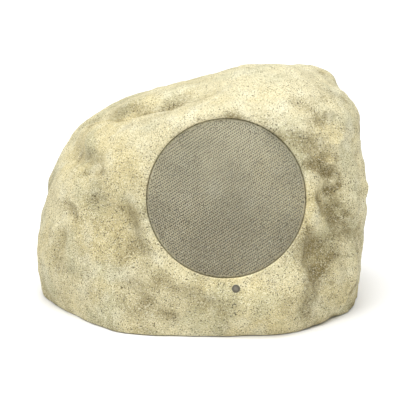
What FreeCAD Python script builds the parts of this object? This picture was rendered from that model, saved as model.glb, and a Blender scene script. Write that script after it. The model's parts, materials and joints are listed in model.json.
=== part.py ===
import FreeCAD, Part
import math
import os

# Garden-rock loudspeaker: a hollow rock of cast resin with one full-range driver behind a round
# perforated grille, a status light under it, a control panel at the back, and a base plate on four
# rubber feet that closes the rock and carries the battery and the amplifier board.
#
# Millimetres. +Z is up, the grille faces -Y and +X is to its right as you look at it. The origin is
# on the ground, under the middle of the rock.

Vec = FreeCAD.Vector

# ------------------------------------------------------------------ driving dimensions: the rock
WALL = 5.0                      # thickness of the cast shell
RIM_Z = 2.0                     # the shell's lower rim hangs clear of the ground
ROCK_CENTRE = Vec(3.0, -4.0, 84.0)
EDGE_WEAR = 5.0                 # how far the edges between the rock's faces are worn back

# The rock is the space inside worn flat faces: (name, azimuth, elevation, distance from the centre).
# Azimuth 0 looks along +X, 90 to the back and -90 to the front.
ROCK_FACES = (
    ("face", -85, 12, 112),
    ("face_left", -120, 9, 120),
    ("cheek_left", -146, 8, 132),
    ("left_wall", 176, -2, 150),
    ("left_upper", 184, 21, 132),
    ("left_shoulder", 186, 46, 121),
    ("left_roof", 166, 67, 105),
    ("roof", 150, 79, 106),
    ("crown", 60, 84, 121),
    ("brow", -92, 52, 125),
    ("brow_left", -135, 50, 118),
    ("right_crown", -4, 65, 143),
    ("right_shoulder", 6, 36, 156),
    ("right_wall", 4, 5, 138),
    ("right_low", 2, -4, 137.5),
    ("cheek_right", -44, 6, 133),
    ("brow_right", -45, 45, 148),
    ("toe", -92, -8, 126),
    ("toe_left", -138, -14, 144),
    ("toe_right", -42, -14, 145),
    ("toe_far_left", -160, -20, 162),
    ("back", 90, 10, 114),
    ("back_left", 135, 14, 127),
    ("back_right", 45, 12, 133),
    ("back_brow", 92, 50, 119),
    ("floor", 0, -90, 98),
)
# Broad lumps (+) and hollows (-) on it: (name, start, end, radius, height).
ROCK_RELIEF = (
    ("roof_groove", (-84, -34, 166), (-24, -66, 180), 12, -4),
    ("roof_ridge", (-72, 1, 178), (-34, 11, 187), 14, 3),
    ("brow_swell", (-62, -74, 152), (-22, -88, 168), 14, 3),
    ("left_boss", (-112, -24, 161), (-98, -44, 158), 12, 4),
    ("left_notch", (-124, 12, 136), (-106, -56, 134), 12, -6),
    ("left_hollow", (-68, -101, 100), (-54, -107, 84), 13, -4),
    ("crown_swell", (30, -4, 200), (70, -14, 203), 20, 9),
    ("shoulder_swell", (112, -10, 186), (118, -20, 180), 14, 3),
    ("right_lump", (124, -56, 110), (118, -66, 96), 12, 5),
    ("right_bulge", (136, -24, 92), (136, -14, 84), 14, 4),
    ("right_valley", (102, -90, 62), (110, -86, 32), 12, -6),
    ("toe_lump_right", (82, -112, 38), (68, -116, 30), 12, 4),
    ("toe_ridge", (-16, -126, 44), (40, -126, 24), 12, 4),
    ("toe_bay_right", (48, -124, 2), (84, -112, 2), 14, -4),
    ("corner_right", (130, -44, 6), (120, -66, 6), 14, -2),
    ("corner_left", (-132, -34, 6), (-112, -64, 6), 14, -3),
)
SKIN_POINTS = 48                                     # points round each section of the skin
WALL_LEVELS = (12, 26, 42, 60)                       # heights of its level sections
CROWN_ANGLES = (0, 13, 26, 38, 49, 59, 68, 76, 83)   # its other sections fan up from the centre

# ------------------------------------------------------------------ driving dimensions: the front
FACE_CENTRE = Vec(19.5, -106.0, 116.0)      # middle of the grille's opening
FACE_AZIMUTH = -87.0
FACE_TILT = 13.5                            # the grille leans back this much
LAND_RADIUS = 69.0                          # the rock is flat this far round the grille
LAND_BLEND = 15.0                           # and meets the rough rock over this distance
LAND_DEPTH = (20.0, 45.0)                   # the flat's influence fades between these depths
POCKET_RADIUS = 66.2
GRILLE_SEAT = -9.0                          # depths below the flat, all negative
DRIVER_SEAT = -17.0
BAFFLE_BACK = -23.0
BAFFLE_RADIUS = 76.0
DRIVER_POCKET_RADIUS = 58.5
DRIVER_HOLE_RADIUS = 49.5
DRIVER_SCREW_CIRCLE = 54.0
GRILLE_THICKNESS = 1.0
GRILLE_EDGE = -3.2                          # the grille's edge lies this deep
GRILLE_DOME = 2.5                           # and its middle stands this much further out
CONE_STROKE = 3.5

LIGHT_PLACE = (6.9, -74.7)                  # status light, on the face, from the grille's middle
LIGHT_BOSS_RADIUS = 10.0
LIGHT_BOSS_BACK = BAFFLE_BACK

# ------------------------------------------------------------------ driving dimensions: the back
PANEL_CENTRE = Vec(0.0, 110.35, 92.0)
PANEL_AZIMUTH = 90.0
PANEL_TILT = 10.0
PANEL_SIZE = (132.0, 42.0)
PANEL_CORNER = 8.0
PANEL_FACE = -1.0                           # the panel's outer face lies just under the rock's
PANEL_THICKNESS = 3.0
PANEL_GASKET_THICKNESS = 1.0
PANEL_WINDOW = (116.0, 28.0)
PANEL_PAD_BACK = -12.0
PANEL_SCREWS = ((-61.5, -16), (61.5, -16), (-61.5, 16), (61.5, 16), (0, 18), (0, -18))
PANEL_POSTS = ((-40, -9.8), (-40, 9.8), (20, -9.8), (20, 9.8))
BUTTON_PLACES = (("power", -50), ("pair", -30), ("volume_down", -10), ("volume_up", 10))
BUTTON_RADIUS = 6.5
BUTTON_TRAVEL = 0.6
USB_PLACE = 34.0
AUX_PLACE = 49.0
AUX_BORE_RADIUS = 1.77
COVER_SPAN = (25.0, 59.0)
COVER_HINGE = (16.5, 1.3)                   # height on the panel, and distance out, of the hinge pin
COVER_PIN_RADIUS = 1.0

# ------------------------------------------------------------------ driving dimensions: the base
PLATE_BOTTOM = 3.5
PLATE_TOP = 6.5
LEDGE_BOTTOM = 8.0
LEDGE_TOP = 12.0
LEDGE_REACH = 19.0                          # from the rock's skin to the ledge's inner edge
SCREW_INSET = 12.5                          # from the rock's skin to the base screws
BASE_SCREWS = 6
FOOT_PLACES = ((-78, -64), (82, -68), (-90, 63), (88, 84))
FOOT_RADIUS = 12.0
BATTERY_CENTRE = (-32.0, 62.0)
CELLS = 4
CELL_RADIUS = 9.1
CELL_LENGTH = 65.0
CELL_PITCH = 19.2
BOARD_CENTRE = (65.0, 43.0)
BOARD_SIZE = (82.0, 66.0)
BOARD_THICKNESS = 1.6
BOARD_BOTTOM = 14.5
BOARD_HOLES = ((-37, -29), (37, -29), (-37, 29), (37, 29))
BOARD_TOP = BOARD_BOTTOM + BOARD_THICKNESS

SHANK_GAP = 0.05                            # a screw's shank clears its hole by this much


# ------------------------------------------------------------------ frames and simple solids
def direction(azimuth, elevation):
    """Unit vector for two angles in degrees."""
    turn = math.radians(azimuth)
    rise = math.radians(elevation)
    return Vec(math.cos(turn) * math.cos(rise), math.sin(turn) * math.cos(rise), math.sin(rise))


def surface_frame(origin, azimuth, tilt):
    """Placement on a face: local x to the right of someone who looks at it, y up, z outward."""
    outward = direction(azimuth, tilt)
    across = direction(azimuth + 90, 0)
    return FreeCAD.Placement(origin, FreeCAD.Rotation(across, outward.cross(across), outward, "ZXY"))


FACE = surface_frame(FACE_CENTRE, FACE_AZIMUTH, FACE_TILT)
PANEL = surface_frame(PANEL_CENTRE, PANEL_AZIMUTH, PANEL_TILT)


def placed(shape, frame):
    """The shape, built in a local frame, at its place in the part."""
    return shape.transformed(frame.toMatrix(), True)


def disc(radius, low, high, x=0.0, y=0.0):
    return Part.makeCylinder(radius, high - low, Vec(x, y, low))


def hoop(outer, inner, low, high, x=0.0, y=0.0):
    return disc(outer, low, high, x, y).cut(disc(inner, low - 1, high + 1, x, y))


def block(x_range, y_range, z_range):
    size = [high - low for low, high in (x_range, y_range, z_range)]
    return Part.makeBox(size[0], size[1], size[2], Vec(x_range[0], y_range[0], z_range[0]))


def centred_block(width, depth, low, high, x=0.0, y=0.0):
    return block((x - width / 2, x + width / 2), (y - depth / 2, y + depth / 2), (low, high))


def rounded_block(width, depth, corner, low, high, x=0.0, y=0.0):
    """A block with its four upright edges rounded."""
    solid = centred_block(width, depth, low, high, x, y)
    upright = [edge for edge in solid.Edges if abs(edge.tangentAt(edge.FirstParameter).z) > 0.9]
    return solid.makeFillet(corner, upright)


def turned(profile):
    """Solid of revolution about local z, from (radius, height) points."""
    points = [Vec(radius, 0, height) for radius, height in profile]
    return Part.Face(Part.makePolygon(points + points[:1])).revolve(Vec(0, 0, 0), Vec(0, 0, 1), 360)


def arc_point(radius, rise, at):
    """Height, above its edge, of a spherical dome of this radius and rise, at one distance out."""
    sphere = (radius ** 2 + rise ** 2) / (2 * rise)
    return math.sqrt(sphere ** 2 - at ** 2) - (sphere - rise)


def dome(radius, rise, edge, thickness):
    """A thin dished disc: its outer face rises from `edge` at the rim to edge + rise in the middle."""
    def arc(drop):
        stations = (0, radius / 2, radius)
        points = [Vec(at, 0, edge - drop + arc_point(radius, rise, at)) for at in stations]
        return Part.Arc(*points).toShape(), points[0], points[-1]
    top, top_middle, top_rim = arc(0)
    under, under_middle, under_rim = arc(thickness)
    sides = [Part.makeLine(top_rim, under_rim), Part.makeLine(under_middle, top_middle)]
    wire = Part.Wire(Part.__sortEdges__([top, under] + sides))
    return Part.Face(wire).revolve(Vec(0, 0, 0), Vec(0, 0, 1), 360)


def round_pattern(count, radius, first_angle=0.0):
    """(x, y) of points spaced evenly on a circle."""
    angles = [math.radians(first_angle + 360.0 * index / count) for index in range(count)]
    return [(radius * math.cos(angle), radius * math.sin(angle)) for angle in angles]


def pan_screw(seat, head_radius, head_height, shank_radius, length, x, y):
    """Pan-head screw, pointing down from its seat, with a cross recess."""
    top = seat + head_height
    shank = disc(shank_radius, seat - length, seat, x, y)
    screw = disc(head_radius, seat, top, x, y).fuse(shank)
    slot = head_radius * 1.2
    slot_floor = seat + head_height * 0.45
    for width, depth in ((slot, 0.5), (0.5, slot)):
        screw = screw.cut(centred_block(width, depth, slot_floor, top + 1, x, y))
    return screw


def upside_down(shape, level):
    """The shape mirrored in a level plane."""
    return shape.mirror(Vec(0, 0, level), Vec(0, 0, 1))


def group(solids):
    return Part.makeCompound(solids)


def joined(solids):
    """One solid from several that touch or overlap."""
    return solids[0].multiFuse(solids[1:]).removeSplitter()


def drilled(solid, places, radius, low, high):
    for x, y in places:
        solid = solid.cut(disc(radius, low, high, x, y))
    return solid


# ------------------------------------------------------------------ the rock's skin
FACE_PLANES = [(direction(azimuth, elevation), reach) for _, azimuth, elevation, reach in ROCK_FACES]
FACE_OUTWARD = direction(FACE_AZIMUTH, FACE_TILT)


def eased(share):
    share = min(1.0, max(0.0, share))
    return share * share * (3 - 2 * share)


def depth_in_rock(point):
    """Distance above the skin, negative inside the rock."""
    offset = point - ROCK_CENTRE
    heights = [offset.dot(normal) - reach for normal, reach in FACE_PLANES]
    highest = max(heights)
    height = highest + EDGE_WEAR * math.log(sum(math.exp((h - highest) / EDGE_WEAR) for h in heights))
    for _, start, end, radius, rise in ROCK_RELIEF:
        first = Vec(*start)
        along = Vec(*end) - first
        share = min(1.0, max(0.0, (point - first).dot(along) / along.dot(along)))
        away = (point - first - along * share).Length
        height -= rise * math.exp(-away * away / (2.0 * radius * radius))
    from_face = point - FACE_CENTRE
    above_face = from_face.dot(FACE_OUTWARD)
    off_axis = math.sqrt(max(0.0, from_face.dot(from_face) - above_face ** 2))
    near, far = LAND_DEPTH
    land = 1 - eased((off_axis - LAND_RADIUS) / LAND_BLEND)
    land *= eased((above_face + far) / (far - near))
    return (1 - land) * height + land * above_face


def skin_point(start, ray, wall):
    """Where a ray from inside leaves the surface that lies `wall` under the rock's skin."""
    near = 5.0
    far = 260.0
    while far - near > 1e-5:
        middle = (near + far) / 2
        if depth_in_rock(start + ray * middle) > -wall:
            far = middle
        else:
            near = middle
    return start + ray * near


def skin_section(height, elevation, wall, inset=0.0):
    """Closed spline through the points where a fan of rays from the rock's axis meets the skin."""
    start = Vec(ROCK_CENTRE.x, ROCK_CENTRE.y, height)
    points = []
    for index in range(SKIN_POINTS):
        ray = direction(360.0 * index / SKIN_POINTS, elevation)
        points.append(skin_point(start, ray, wall) - ray * inset)
    curve = Part.BSplineCurve()
    knots = [index / SKIN_POINTS for index in range(SKIN_POINTS + 1)]
    curve.interpolate(Points=points, PeriodicFlag=True, Parameters=knots)
    return Part.Wire(curve.toShape())


def rock_solid(wall, bottom):
    """The whole rock, from its flat bottom to its crown, `wall` under the skin."""
    sections = [skin_section(height, 0, wall) for height in (bottom,) + WALL_LEVELS]
    sections += [skin_section(ROCK_CENTRE.z, elevation, wall) for elevation in CROWN_ANGLES]
    crown = skin_point(ROCK_CENTRE, Vec(0, 0, 1), wall)
    return Part.makeLoft(sections + [Part.Vertex(crown)], True, False)


def level_slab(inset, low, high):
    """Slab in the shape of the rock's footprint, drawn in by `inset` from the skin at the rim."""
    outline = skin_section(RIM_Z, 0, 0.0, inset)
    outline.translate(Vec(0, 0, low - RIM_Z))
    return Part.Face(outline).extrude(Vec(0, 0, high - low))


def skin_height(frame, x, y):
    """Height of the rock's skin over a point of a face frame."""
    foot = frame.multVec(Vec(x, y, -40))
    outward = frame.Rotation.multVec(Vec(0, 0, 1))
    return (skin_point(foot, outward, 0.0) - foot).Length - 40


def base_screw_places():
    """(x, y) of the screws that hold the base plate, just inside the rock's wall."""
    places = []
    for index in range(BASE_SCREWS):
        ray = direction(360.0 * index / BASE_SCREWS, 0)
        point = skin_point(Vec(ROCK_CENTRE.x, ROCK_CENTRE.y, RIM_Z), ray, 0.0) - ray * SCREW_INSET
        places.append((point.x, point.y))
    return places


LIGHT_SKIN = skin_height(FACE, *LIGHT_PLACE)
BASE_SCREW_PLACES = base_screw_places()


def rock_shell():
    x, y = LIGHT_PLACE
    cavity = rock_solid(WALL, RIM_Z - 1)
    cavity = cavity.cut(placed(disc(BAFFLE_RADIUS, BAFFLE_BACK, 20), FACE))
    cavity = cavity.cut(placed(disc(LIGHT_BOSS_RADIUS, LIGHT_BOSS_BACK, 20, x, y), FACE))
    cavity = cavity.cut(placed(rounded_block(150, 60, 12, PANEL_PAD_BACK, 10), PANEL))
    ledge = centred_block(400, 400, LEDGE_BOTTOM, LEDGE_TOP).cut(level_slab(LEDGE_REACH, 0, 30))
    cavity = cavity.cut(ledge)
    for place in BASE_SCREW_PLACES:
        cavity = cavity.cut(disc(5.5, LEDGE_BOTTOM, 24, *place))

    shell = rock_solid(0.0, RIM_Z).cut(cavity)
    openings = [
        disc(POCKET_RADIUS, GRILLE_SEAT, 20),
        disc(DRIVER_POCKET_RADIUS, DRIVER_SEAT, 0),
        disc(DRIVER_HOLE_RADIUS, BAFFLE_BACK - 5, 0),
        disc(3.5, LIGHT_BOSS_BACK - 5, 20, x, y),
    ]
    for place in round_pattern(4, DRIVER_SCREW_CIRCLE, 45):
        openings.append(disc(1.75, BAFFLE_BACK + 1, DRIVER_SEAT + 1, *place))
    for opening in openings:
        shell = shell.cut(placed(opening, FACE))
    floor = PANEL_FACE - PANEL_THICKNESS - PANEL_GASKET_THICKNESS
    width, depth = PANEL_SIZE
    shell = shell.cut(placed(rounded_block(width + 2, depth + 2, PANEL_CORNER + 1, floor, 15), PANEL))
    shell = shell.cut(placed(rounded_block(*PANEL_WINDOW, 4, PANEL_PAD_BACK - 8, 0), PANEL))
    for place in PANEL_SCREWS:
        shell = shell.cut(placed(disc(1.3, PANEL_PAD_BACK + 0.8, 0, *place), PANEL))
    return drilled(shell, BASE_SCREW_PLACES, 1.55, 0, 22)


# ------------------------------------------------------------------ grille and driver, on the face
FLANGE_BACK = DRIVER_SEAT + 1.0             # the driver's gasket lies between seat and flange
FLANGE_FRONT = FLANGE_BACK + 1.5
SHELF = FLANGE_FRONT - 22.5                 # the spider is glued to this shelf
MOTOR_FRONT = SHELF - 9.0
MAGNET_FRONT = MOTOR_FRONT - 5.0
MAGNET_BACK = MAGNET_FRONT - 15.0
COIL_RADIUS = 12.75
RIM_FACE = FLANGE_FRONT + 0.05              # the surround is glued to the flange and to the cone's rim


def grille():
    """Dished steel disc with a skirt and a foot ring; its perforation is too fine to model here."""
    rim = POCKET_RADIUS - 0.4
    foot = GRILLE_SEAT + 1.0
    skirt = hoop(rim, rim - GRILLE_THICKNESS, foot, GRILLE_EDGE - 0.4)
    foot_ring = hoop(rim, 59.5, foot, foot + GRILLE_THICKNESS)
    return joined([dome(rim, GRILLE_DOME, GRILLE_EDGE, GRILLE_THICKNESS), skirt, foot_ring])


def driver_basket():
    """Pressed steel frame with six windows."""
    profile = [
        (58.0, FLANGE_FRONT), (47.0, FLANGE_FRONT), (36.5, SHELF), (31.0, SHELF),
        (31.0, MOTOR_FRONT + 1.5), (14.5, MOTOR_FRONT + 1.5), (14.5, MOTOR_FRONT),
        (32.5, MOTOR_FRONT), (32.5, SHELF - 1.5), (37.8, SHELF - 1.5), (48.4, FLANGE_BACK),
        (58.0, FLANGE_BACK),
    ]
    basket = turned(profile)
    low = SHELF + 2.5
    high = FLANGE_BACK - 3.0
    corners = [Vec(30, 0, low), Vec(60, 0, low), Vec(60, 0, high), Vec(30, 0, high)]
    slot = Part.makePolygon(corners + corners[:1])
    for index in range(6):
        window = Part.Face(slot).revolve(Vec(0, 0, 0), Vec(0, 0, 1), 42)
        window.rotate(Vec(0, 0, 0), Vec(0, 0, 1), 60 * index + 9)
        basket = basket.cut(window)
    screw_places = round_pattern(4, DRIVER_SCREW_CIRCLE, 45)
    return drilled(basket, screw_places, 2.1, FLANGE_BACK - 1, FLANGE_FRONT + 1)


def driver_screws():
    places = round_pattern(4, DRIVER_SCREW_CIRCLE, 45)
    return group([pan_screw(FLANGE_FRONT, 2.9, 2.0, 1.7, 7.0, x, y) for x, y in places])


def back_plate():
    """Steel disc with the pole that stands inside the voice coil, and a vent through both."""
    plate = disc(36, MAGNET_BACK - 5, MAGNET_BACK).fuse(disc(12.1, MAGNET_BACK - 1, MOTOR_FRONT))
    return plate.cut(disc(3.5, MAGNET_BACK - 10, MOTOR_FRONT + 5))


def cone():
    rim = RIM_FACE - 0.05
    neck = rim - 16.25
    return turned([(42.0, rim), (40.0, rim), (COIL_RADIUS, neck), (COIL_RADIUS, neck - 1.2),
                   (40.2, rim - 1.15), (42.0, rim - 1.15)])


def dust_cap():
    return dome(15.5, 5.0, RIM_FACE - 14.1, 0.5)


def surround():
    """Rubber half-roll between the flange and the cone's rim, 0.6 thick."""
    middle = 44.0
    outer = 3.3
    inner = 2.7
    base = RIM_FACE
    top = base + 0.6
    side = math.sqrt(outer ** 2 - 0.6 ** 2)
    corners = [Vec(50.5, 0, base), Vec(middle + inner, 0, base), Vec(middle - inner, 0, base),
               Vec(40.1, 0, base), Vec(40.1, 0, top), Vec(middle - side, 0, top),
               Vec(middle + side, 0, top), Vec(50.5, 0, top)]
    edges = [
        Part.makeLine(corners[0], corners[1]),
        Part.Arc(corners[1], Vec(middle, 0, base + inner), corners[2]).toShape(),
        Part.makeLine(corners[2], corners[3]),
        Part.makeLine(corners[3], corners[4]),
        Part.makeLine(corners[4], corners[5]),
        Part.Arc(corners[5], Vec(middle, 0, base + outer), corners[6]).toShape(),
        Part.makeLine(corners[6], corners[7]),
        Part.makeLine(corners[7], corners[0]),
    ]
    return Part.Face(Part.Wire(edges)).revolve(Vec(0, 0, 0), Vec(0, 0, 1), 360)


def spider():
    """Corrugated cloth disc that centres the voice coil."""
    steps = 24
    start = COIL_RADIUS + 0.05
    end = 30.5
    middle = SHELF + 0.35
    upper = []
    for index in range(steps + 1):
        share = index / steps
        upper.append((start + (end - start) * share, middle + 0.8 * math.sin(share * math.pi * 8)))
    upper.append((36.0, middle))
    lower = [(radius, height - 0.3) for radius, height in reversed(upper)]
    return turned(upper + lower)


def terminal_frame():
    """Frame of the terminal strip, low on the right of the basket."""
    return FreeCAD.Placement(Vec(0, 0, SHELF - 5.0), FreeCAD.Rotation(Vec(0, 0, 1), -60))


def terminal_strip():
    return placed(block((32.6, 34.2), (-12, 12), (-3, 3)), terminal_frame())


def terminal_tabs():
    tabs = [placed(block((34.2, 42), (y - 2.4, y + 2.4), (0, 0.8)), terminal_frame()) for y in (-7, 7)]
    return group(tabs)


def status_lens():
    """Clear light pipe with a domed front."""
    front = LIGHT_SKIN - 0.6
    x, y = LIGHT_PLACE
    nose = dome(2.25, 0.5, front, 1.0)
    nose.translate(Vec(x, y, 0))
    return disc(2.25, LIGHT_BOSS_BACK + 4, front - 0.2, x, y).fuse(nose)


def light_grommet():
    """Black rubber sleeve round the light, with a flange behind the wall."""
    front = LIGHT_SKIN - 0.2
    x, y = LIGHT_PLACE
    sleeve = hoop(3.45, 2.3, LIGHT_BOSS_BACK - 1, front, x, y)
    return sleeve.fuse(hoop(7.0, 2.3, LIGHT_BOSS_BACK - 1, LIGHT_BOSS_BACK, x, y))


def light_board():
    """Small round board with the light-emitting diode on it."""
    x, y = LIGHT_PLACE
    back = LIGHT_BOSS_BACK - 1
    return disc(9.0, back - 1.2, back, x, y).fuse(disc(1.9, back, back + 3.5, x, y))


def face_nodes():
    screw_places = round_pattern(4, DRIVER_SCREW_CIRCLE, 45)
    gasket = hoop(57.8, 50.0, DRIVER_SEAT, FLANGE_BACK)
    gasket = drilled(gasket, screw_places, 2.1, DRIVER_SEAT - 1, FLANGE_BACK + 1)
    local = {
        "grille": grille(),
        "grille_gasket": hoop(65.6, 59.5, GRILLE_SEAT, GRILLE_SEAT + 1),
        "driver_gasket": gasket,
        "driver_basket": driver_basket(),
        "driver_screws": driver_screws(),
        "top_plate": hoop(36, 13.7, MAGNET_FRONT, MOTOR_FRONT),
        "magnet": hoop(40, 17, MAGNET_BACK, MAGNET_FRONT),
        "back_plate": back_plate(),
        "cone": cone(),
        "dust_cap": dust_cap(),
        "surround": surround(),
        "spider": spider(),
        "voice_coil_former": hoop(COIL_RADIUS - 0.03, 12.5, MOTOR_FRONT - 9.5, RIM_FACE - 15.5),
        "voice_coil": hoop(13.3, COIL_RADIUS, MOTOR_FRONT - 7.5, MOTOR_FRONT + 2.5),
        "terminal_strip": terminal_strip(),
        "terminal_tabs": terminal_tabs(),
        "status_lens": status_lens(),
        "light_grommet": light_grommet(),
        "light_board": light_board(),
    }
    return {node: placed(shape, FACE) for node, shape in local.items()}


# ------------------------------------------------------------------ control panel, at the back
PANEL_BACK = PANEL_FACE - PANEL_THICKNESS
CONTROL_BOARD_FRONT = -12.0
CONTROL_BOARD_BACK = CONTROL_BOARD_FRONT - BOARD_THICKNESS
FLANGE_GAP = 0.15                           # between a button's flange and the panel
PUSHER_BACK = PANEL_BACK - FLANGE_GAP - 2.45


def control_panel():
    """Moulded panel with button holes, socket openings, rear posts and the cover's two ears."""
    width, depth = PANEL_SIZE
    hinge_y, hinge_z = COVER_HINGE
    left, right = COVER_SPAN
    panel = rounded_block(width, depth, PANEL_CORNER, PANEL_BACK, PANEL_FACE)
    extras = [disc(2.6, CONTROL_BOARD_FRONT, PANEL_BACK, x, y) for x, y in PANEL_POSTS]
    for x_range in ((left - 3.2, left - 0.2), (right + 0.2, right + 3.2)):
        ear = block(x_range, (hinge_y - 2.2, hinge_y + 2.2), (PANEL_FACE, hinge_z))
        extras.append(ear)
        extras.append(hinge_rod(2.2, x_range))
    panel = joined([panel] + extras)
    panel = panel.cut(cover_pin())
    for _, x in BUTTON_PLACES:
        panel = panel.cut(disc(BUTTON_RADIUS + 0.3, PANEL_BACK - 1, 1, x, 0))
    panel = panel.cut(rounded_block(9.8, 4.2, 2.0, PANEL_BACK - 1, 1, USB_PLACE, -2))
    panel = panel.cut(disc(3.2, PANEL_BACK - 1, 1, AUX_PLACE, -2))
    for x, y in PANEL_SCREWS:
        panel = panel.cut(disc(1.5, PANEL_BACK - 1, 1, x, y)).cut(disc(3.0, PANEL_FACE - 1.6, 1, x, y))
    return drilled(panel, PANEL_POSTS, 1.05, CONTROL_BOARD_FRONT - 1, PANEL_BACK - 1)


def panel_gasket():
    width, depth = PANEL_SIZE
    outline = rounded_block(width, depth, PANEL_CORNER, PANEL_BACK - PANEL_GASKET_THICKNESS, PANEL_BACK)
    inside = rounded_block(*PANEL_WINDOW, 4, PANEL_BACK - 3, PANEL_BACK + 1)
    return drilled(outline.cut(inside), PANEL_SCREWS, 1.5, PANEL_BACK - 3, PANEL_BACK + 1)


def panel_screws():
    seat = PANEL_FACE - 1.6
    return group([pan_screw(seat, 2.7, 1.5, 1.25, 8.0, x, y) for x, y in PANEL_SCREWS])


def control_board():
    board = centred_block(108, 25, CONTROL_BOARD_BACK, CONTROL_BOARD_FRONT)
    board = drilled(board, PANEL_POSTS, 1.2, CONTROL_BOARD_BACK - 1, CONTROL_BOARD_FRONT + 1)
    return board.cut(disc(3.3, CONTROL_BOARD_BACK - 1, CONTROL_BOARD_FRONT + 1, AUX_PLACE, -2))


def control_board_screws():
    screws = []
    for x, y in PANEL_POSTS:
        screw = pan_screw(0, 2.0, 1.4, 1.0, 6.0, x, y)
        screw = upside_down(screw, 0)
        screw.translate(Vec(0, 0, CONTROL_BOARD_BACK))
        screws.append(screw)
    return group(screws)


def button_switches():
    """Push switches on the control board, each with a well for its plunger."""
    switches = []
    for _, x in BUTTON_PLACES:
        body = centred_block(6.2, 6.2, CONTROL_BOARD_FRONT, CONTROL_BOARD_FRONT + 3.5, x)
        switches.append(body.cut(disc(1.9, CONTROL_BOARD_FRONT + 0.6, CONTROL_BOARD_FRONT + 5, x)))
    return group(switches)


def button_plunger(x):
    return disc(1.6, CONTROL_BOARD_FRONT + 1.5, PUSHER_BACK, x)


def button_cap(x):
    """Rubber cap with a retaining flange behind the panel and a pusher under it."""
    flange_front = PANEL_BACK - FLANGE_GAP
    cap = disc(BUTTON_RADIUS, flange_front - 1.2, PANEL_FACE + 1.4, x)
    crown = [edge for edge in cap.Edges if edge.BoundBox.ZMin > PANEL_FACE + 1]
    cap = cap.makeFillet(0.6, crown)
    flange = disc(7.8, flange_front - 1.2, flange_front, x)
    return joined([cap, flange, disc(2.0, PUSHER_BACK, flange_front, x)])


def usb_socket():
    """Upright charging socket: steel shell round a tongue."""
    mouth = PANEL_FACE - 0.6
    outer = rounded_block(8.94, 3.26, 1.55, CONTROL_BOARD_FRONT, mouth, USB_PLACE, -2)
    inner = rounded_block(8.34, 2.66, 1.3, CONTROL_BOARD_FRONT + 3, mouth + 1, USB_PLACE, -2)
    tongue = centred_block(6.7, 0.7, CONTROL_BOARD_FRONT + 2.5, mouth - 0.9, USB_PLACE, -2)
    return joined([outer.cut(inner), tongue])


def aux_socket():
    """Upright 3.5 mm audio socket, its barrel passing through the control board."""
    mouth = PANEL_FACE + 0.2
    body = centred_block(9, 9, CONTROL_BOARD_FRONT, PANEL_BACK - 0.2, AUX_PLACE, -2)
    barrel = disc(3.0, -16.3, mouth, AUX_PLACE, -2)
    return joined([body, barrel]).cut(disc(AUX_BORE_RADIUS, -15.3, mouth + 1, AUX_PLACE, -2))


def hinge_rod(radius, x_range):
    y, z = COVER_HINGE
    return Part.makeCylinder(radius, x_range[1] - x_range[0], Vec(x_range[0], y, z), Vec(1, 0, 0))


def cover_pin():
    left, right = COVER_SPAN
    return hinge_rod(COVER_PIN_RADIUS, (left - 3.2, right + 3.2))


def port_cover():
    """Flap over the sockets that hangs from its hinge pin, with a finger lip at the bottom."""
    left, right = COVER_SPAN
    span = (left + 0.3, right - 0.3)
    hinge_y, hinge_z = COVER_HINGE
    middle = (left + right) / 2
    width = span[1] - span[0]
    flap = rounded_block(width, 31.0, 3.0, PANEL_FACE + 0.3, hinge_z, middle, 0.3)
    barrel = hinge_rod(2.0, span)
    lip = rounded_block(14, 2.4, 1.0, hinge_z, hinge_z + 1.2, middle, -13.2)
    return joined([flap, barrel, lip]).cut(hinge_rod(COVER_PIN_RADIUS + SHANK_GAP, (left, right)))


def panel_nodes():
    local = {
        "control_panel": control_panel(),
        "panel_gasket": panel_gasket(),
        "panel_screws": panel_screws(),
        "control_board": control_board(),
        "control_board_screws": control_board_screws(),
        "button_switches": button_switches(),
        "usb_socket": usb_socket(),
        "aux_socket": aux_socket(),
        "cover_pin": cover_pin(),
        "port_cover": port_cover(),
    }
    for name, x in BUTTON_PLACES:
        local[name + "_button"] = button_cap(x)
        local[name + "_plunger"] = button_plunger(x)
    return {node: placed(shape, PANEL) for node, shape in local.items()}


# ------------------------------------------------------------------ base, battery and amplifier
STRAP_LEVELS = (-20.0, 20.0)                # the two battery straps, from the battery's middle
TRAY_SIZE = (84.0, 72.0)
TRAY_WALL = 2.0
TRAY_HEIGHT = 14.0
STRAP_THICKNESS = 1.0
CELL_TOP = PLATE_TOP + TRAY_WALL + 2 * CELL_RADIUS + 0.1


def strap_screw_places():
    x, y = BATTERY_CENTRE
    reach = TRAY_SIZE[0] / 2 + STRAP_THICKNESS + 6
    return [(x + side * reach, y + level) for side in (-1, 1) for level in STRAP_LEVELS]


def board_places(offsets):
    """Offsets from the middle of the amplifier board, as (x, y) in the part."""
    x, y = BOARD_CENTRE
    return [(x + dx, y + dy) for dx, dy in offsets]


def base_plate():
    plate = level_slab(WALL + 1.8, PLATE_BOTTOM, PLATE_TOP)
    plate = drilled(plate, BASE_SCREW_PLACES, 1.8, 0, 10)
    plate = drilled(plate, FOOT_PLACES, 3.0, 0, 10)
    for x, y in board_places(BOARD_HOLES):
        plate = plate.fuse(disc(3.5, PLATE_TOP - 1, BOARD_BOTTOM, x, y))
    plate = drilled(plate, board_places(BOARD_HOLES), 1.3, PLATE_TOP, 20)
    return drilled(plate, strap_screw_places(), 1.3, 0, 10)


def base_seal():
    ring = level_slab(WALL + 3.0, PLATE_TOP, LEDGE_BOTTOM).cut(level_slab(LEDGE_REACH - 0.5, 0, 30))
    return drilled(ring, BASE_SCREW_PLACES, 1.8, 0, 20)


def base_screws():
    screws = []
    for x, y in BASE_SCREW_PLACES:
        screw = upside_down(pan_screw(0, 2.8, 2.0, 1.5, 16.0, x, y), 0)
        screw.translate(Vec(0, 0, PLATE_BOTTOM))
        screws.append(screw)
    return group(screws)


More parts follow.
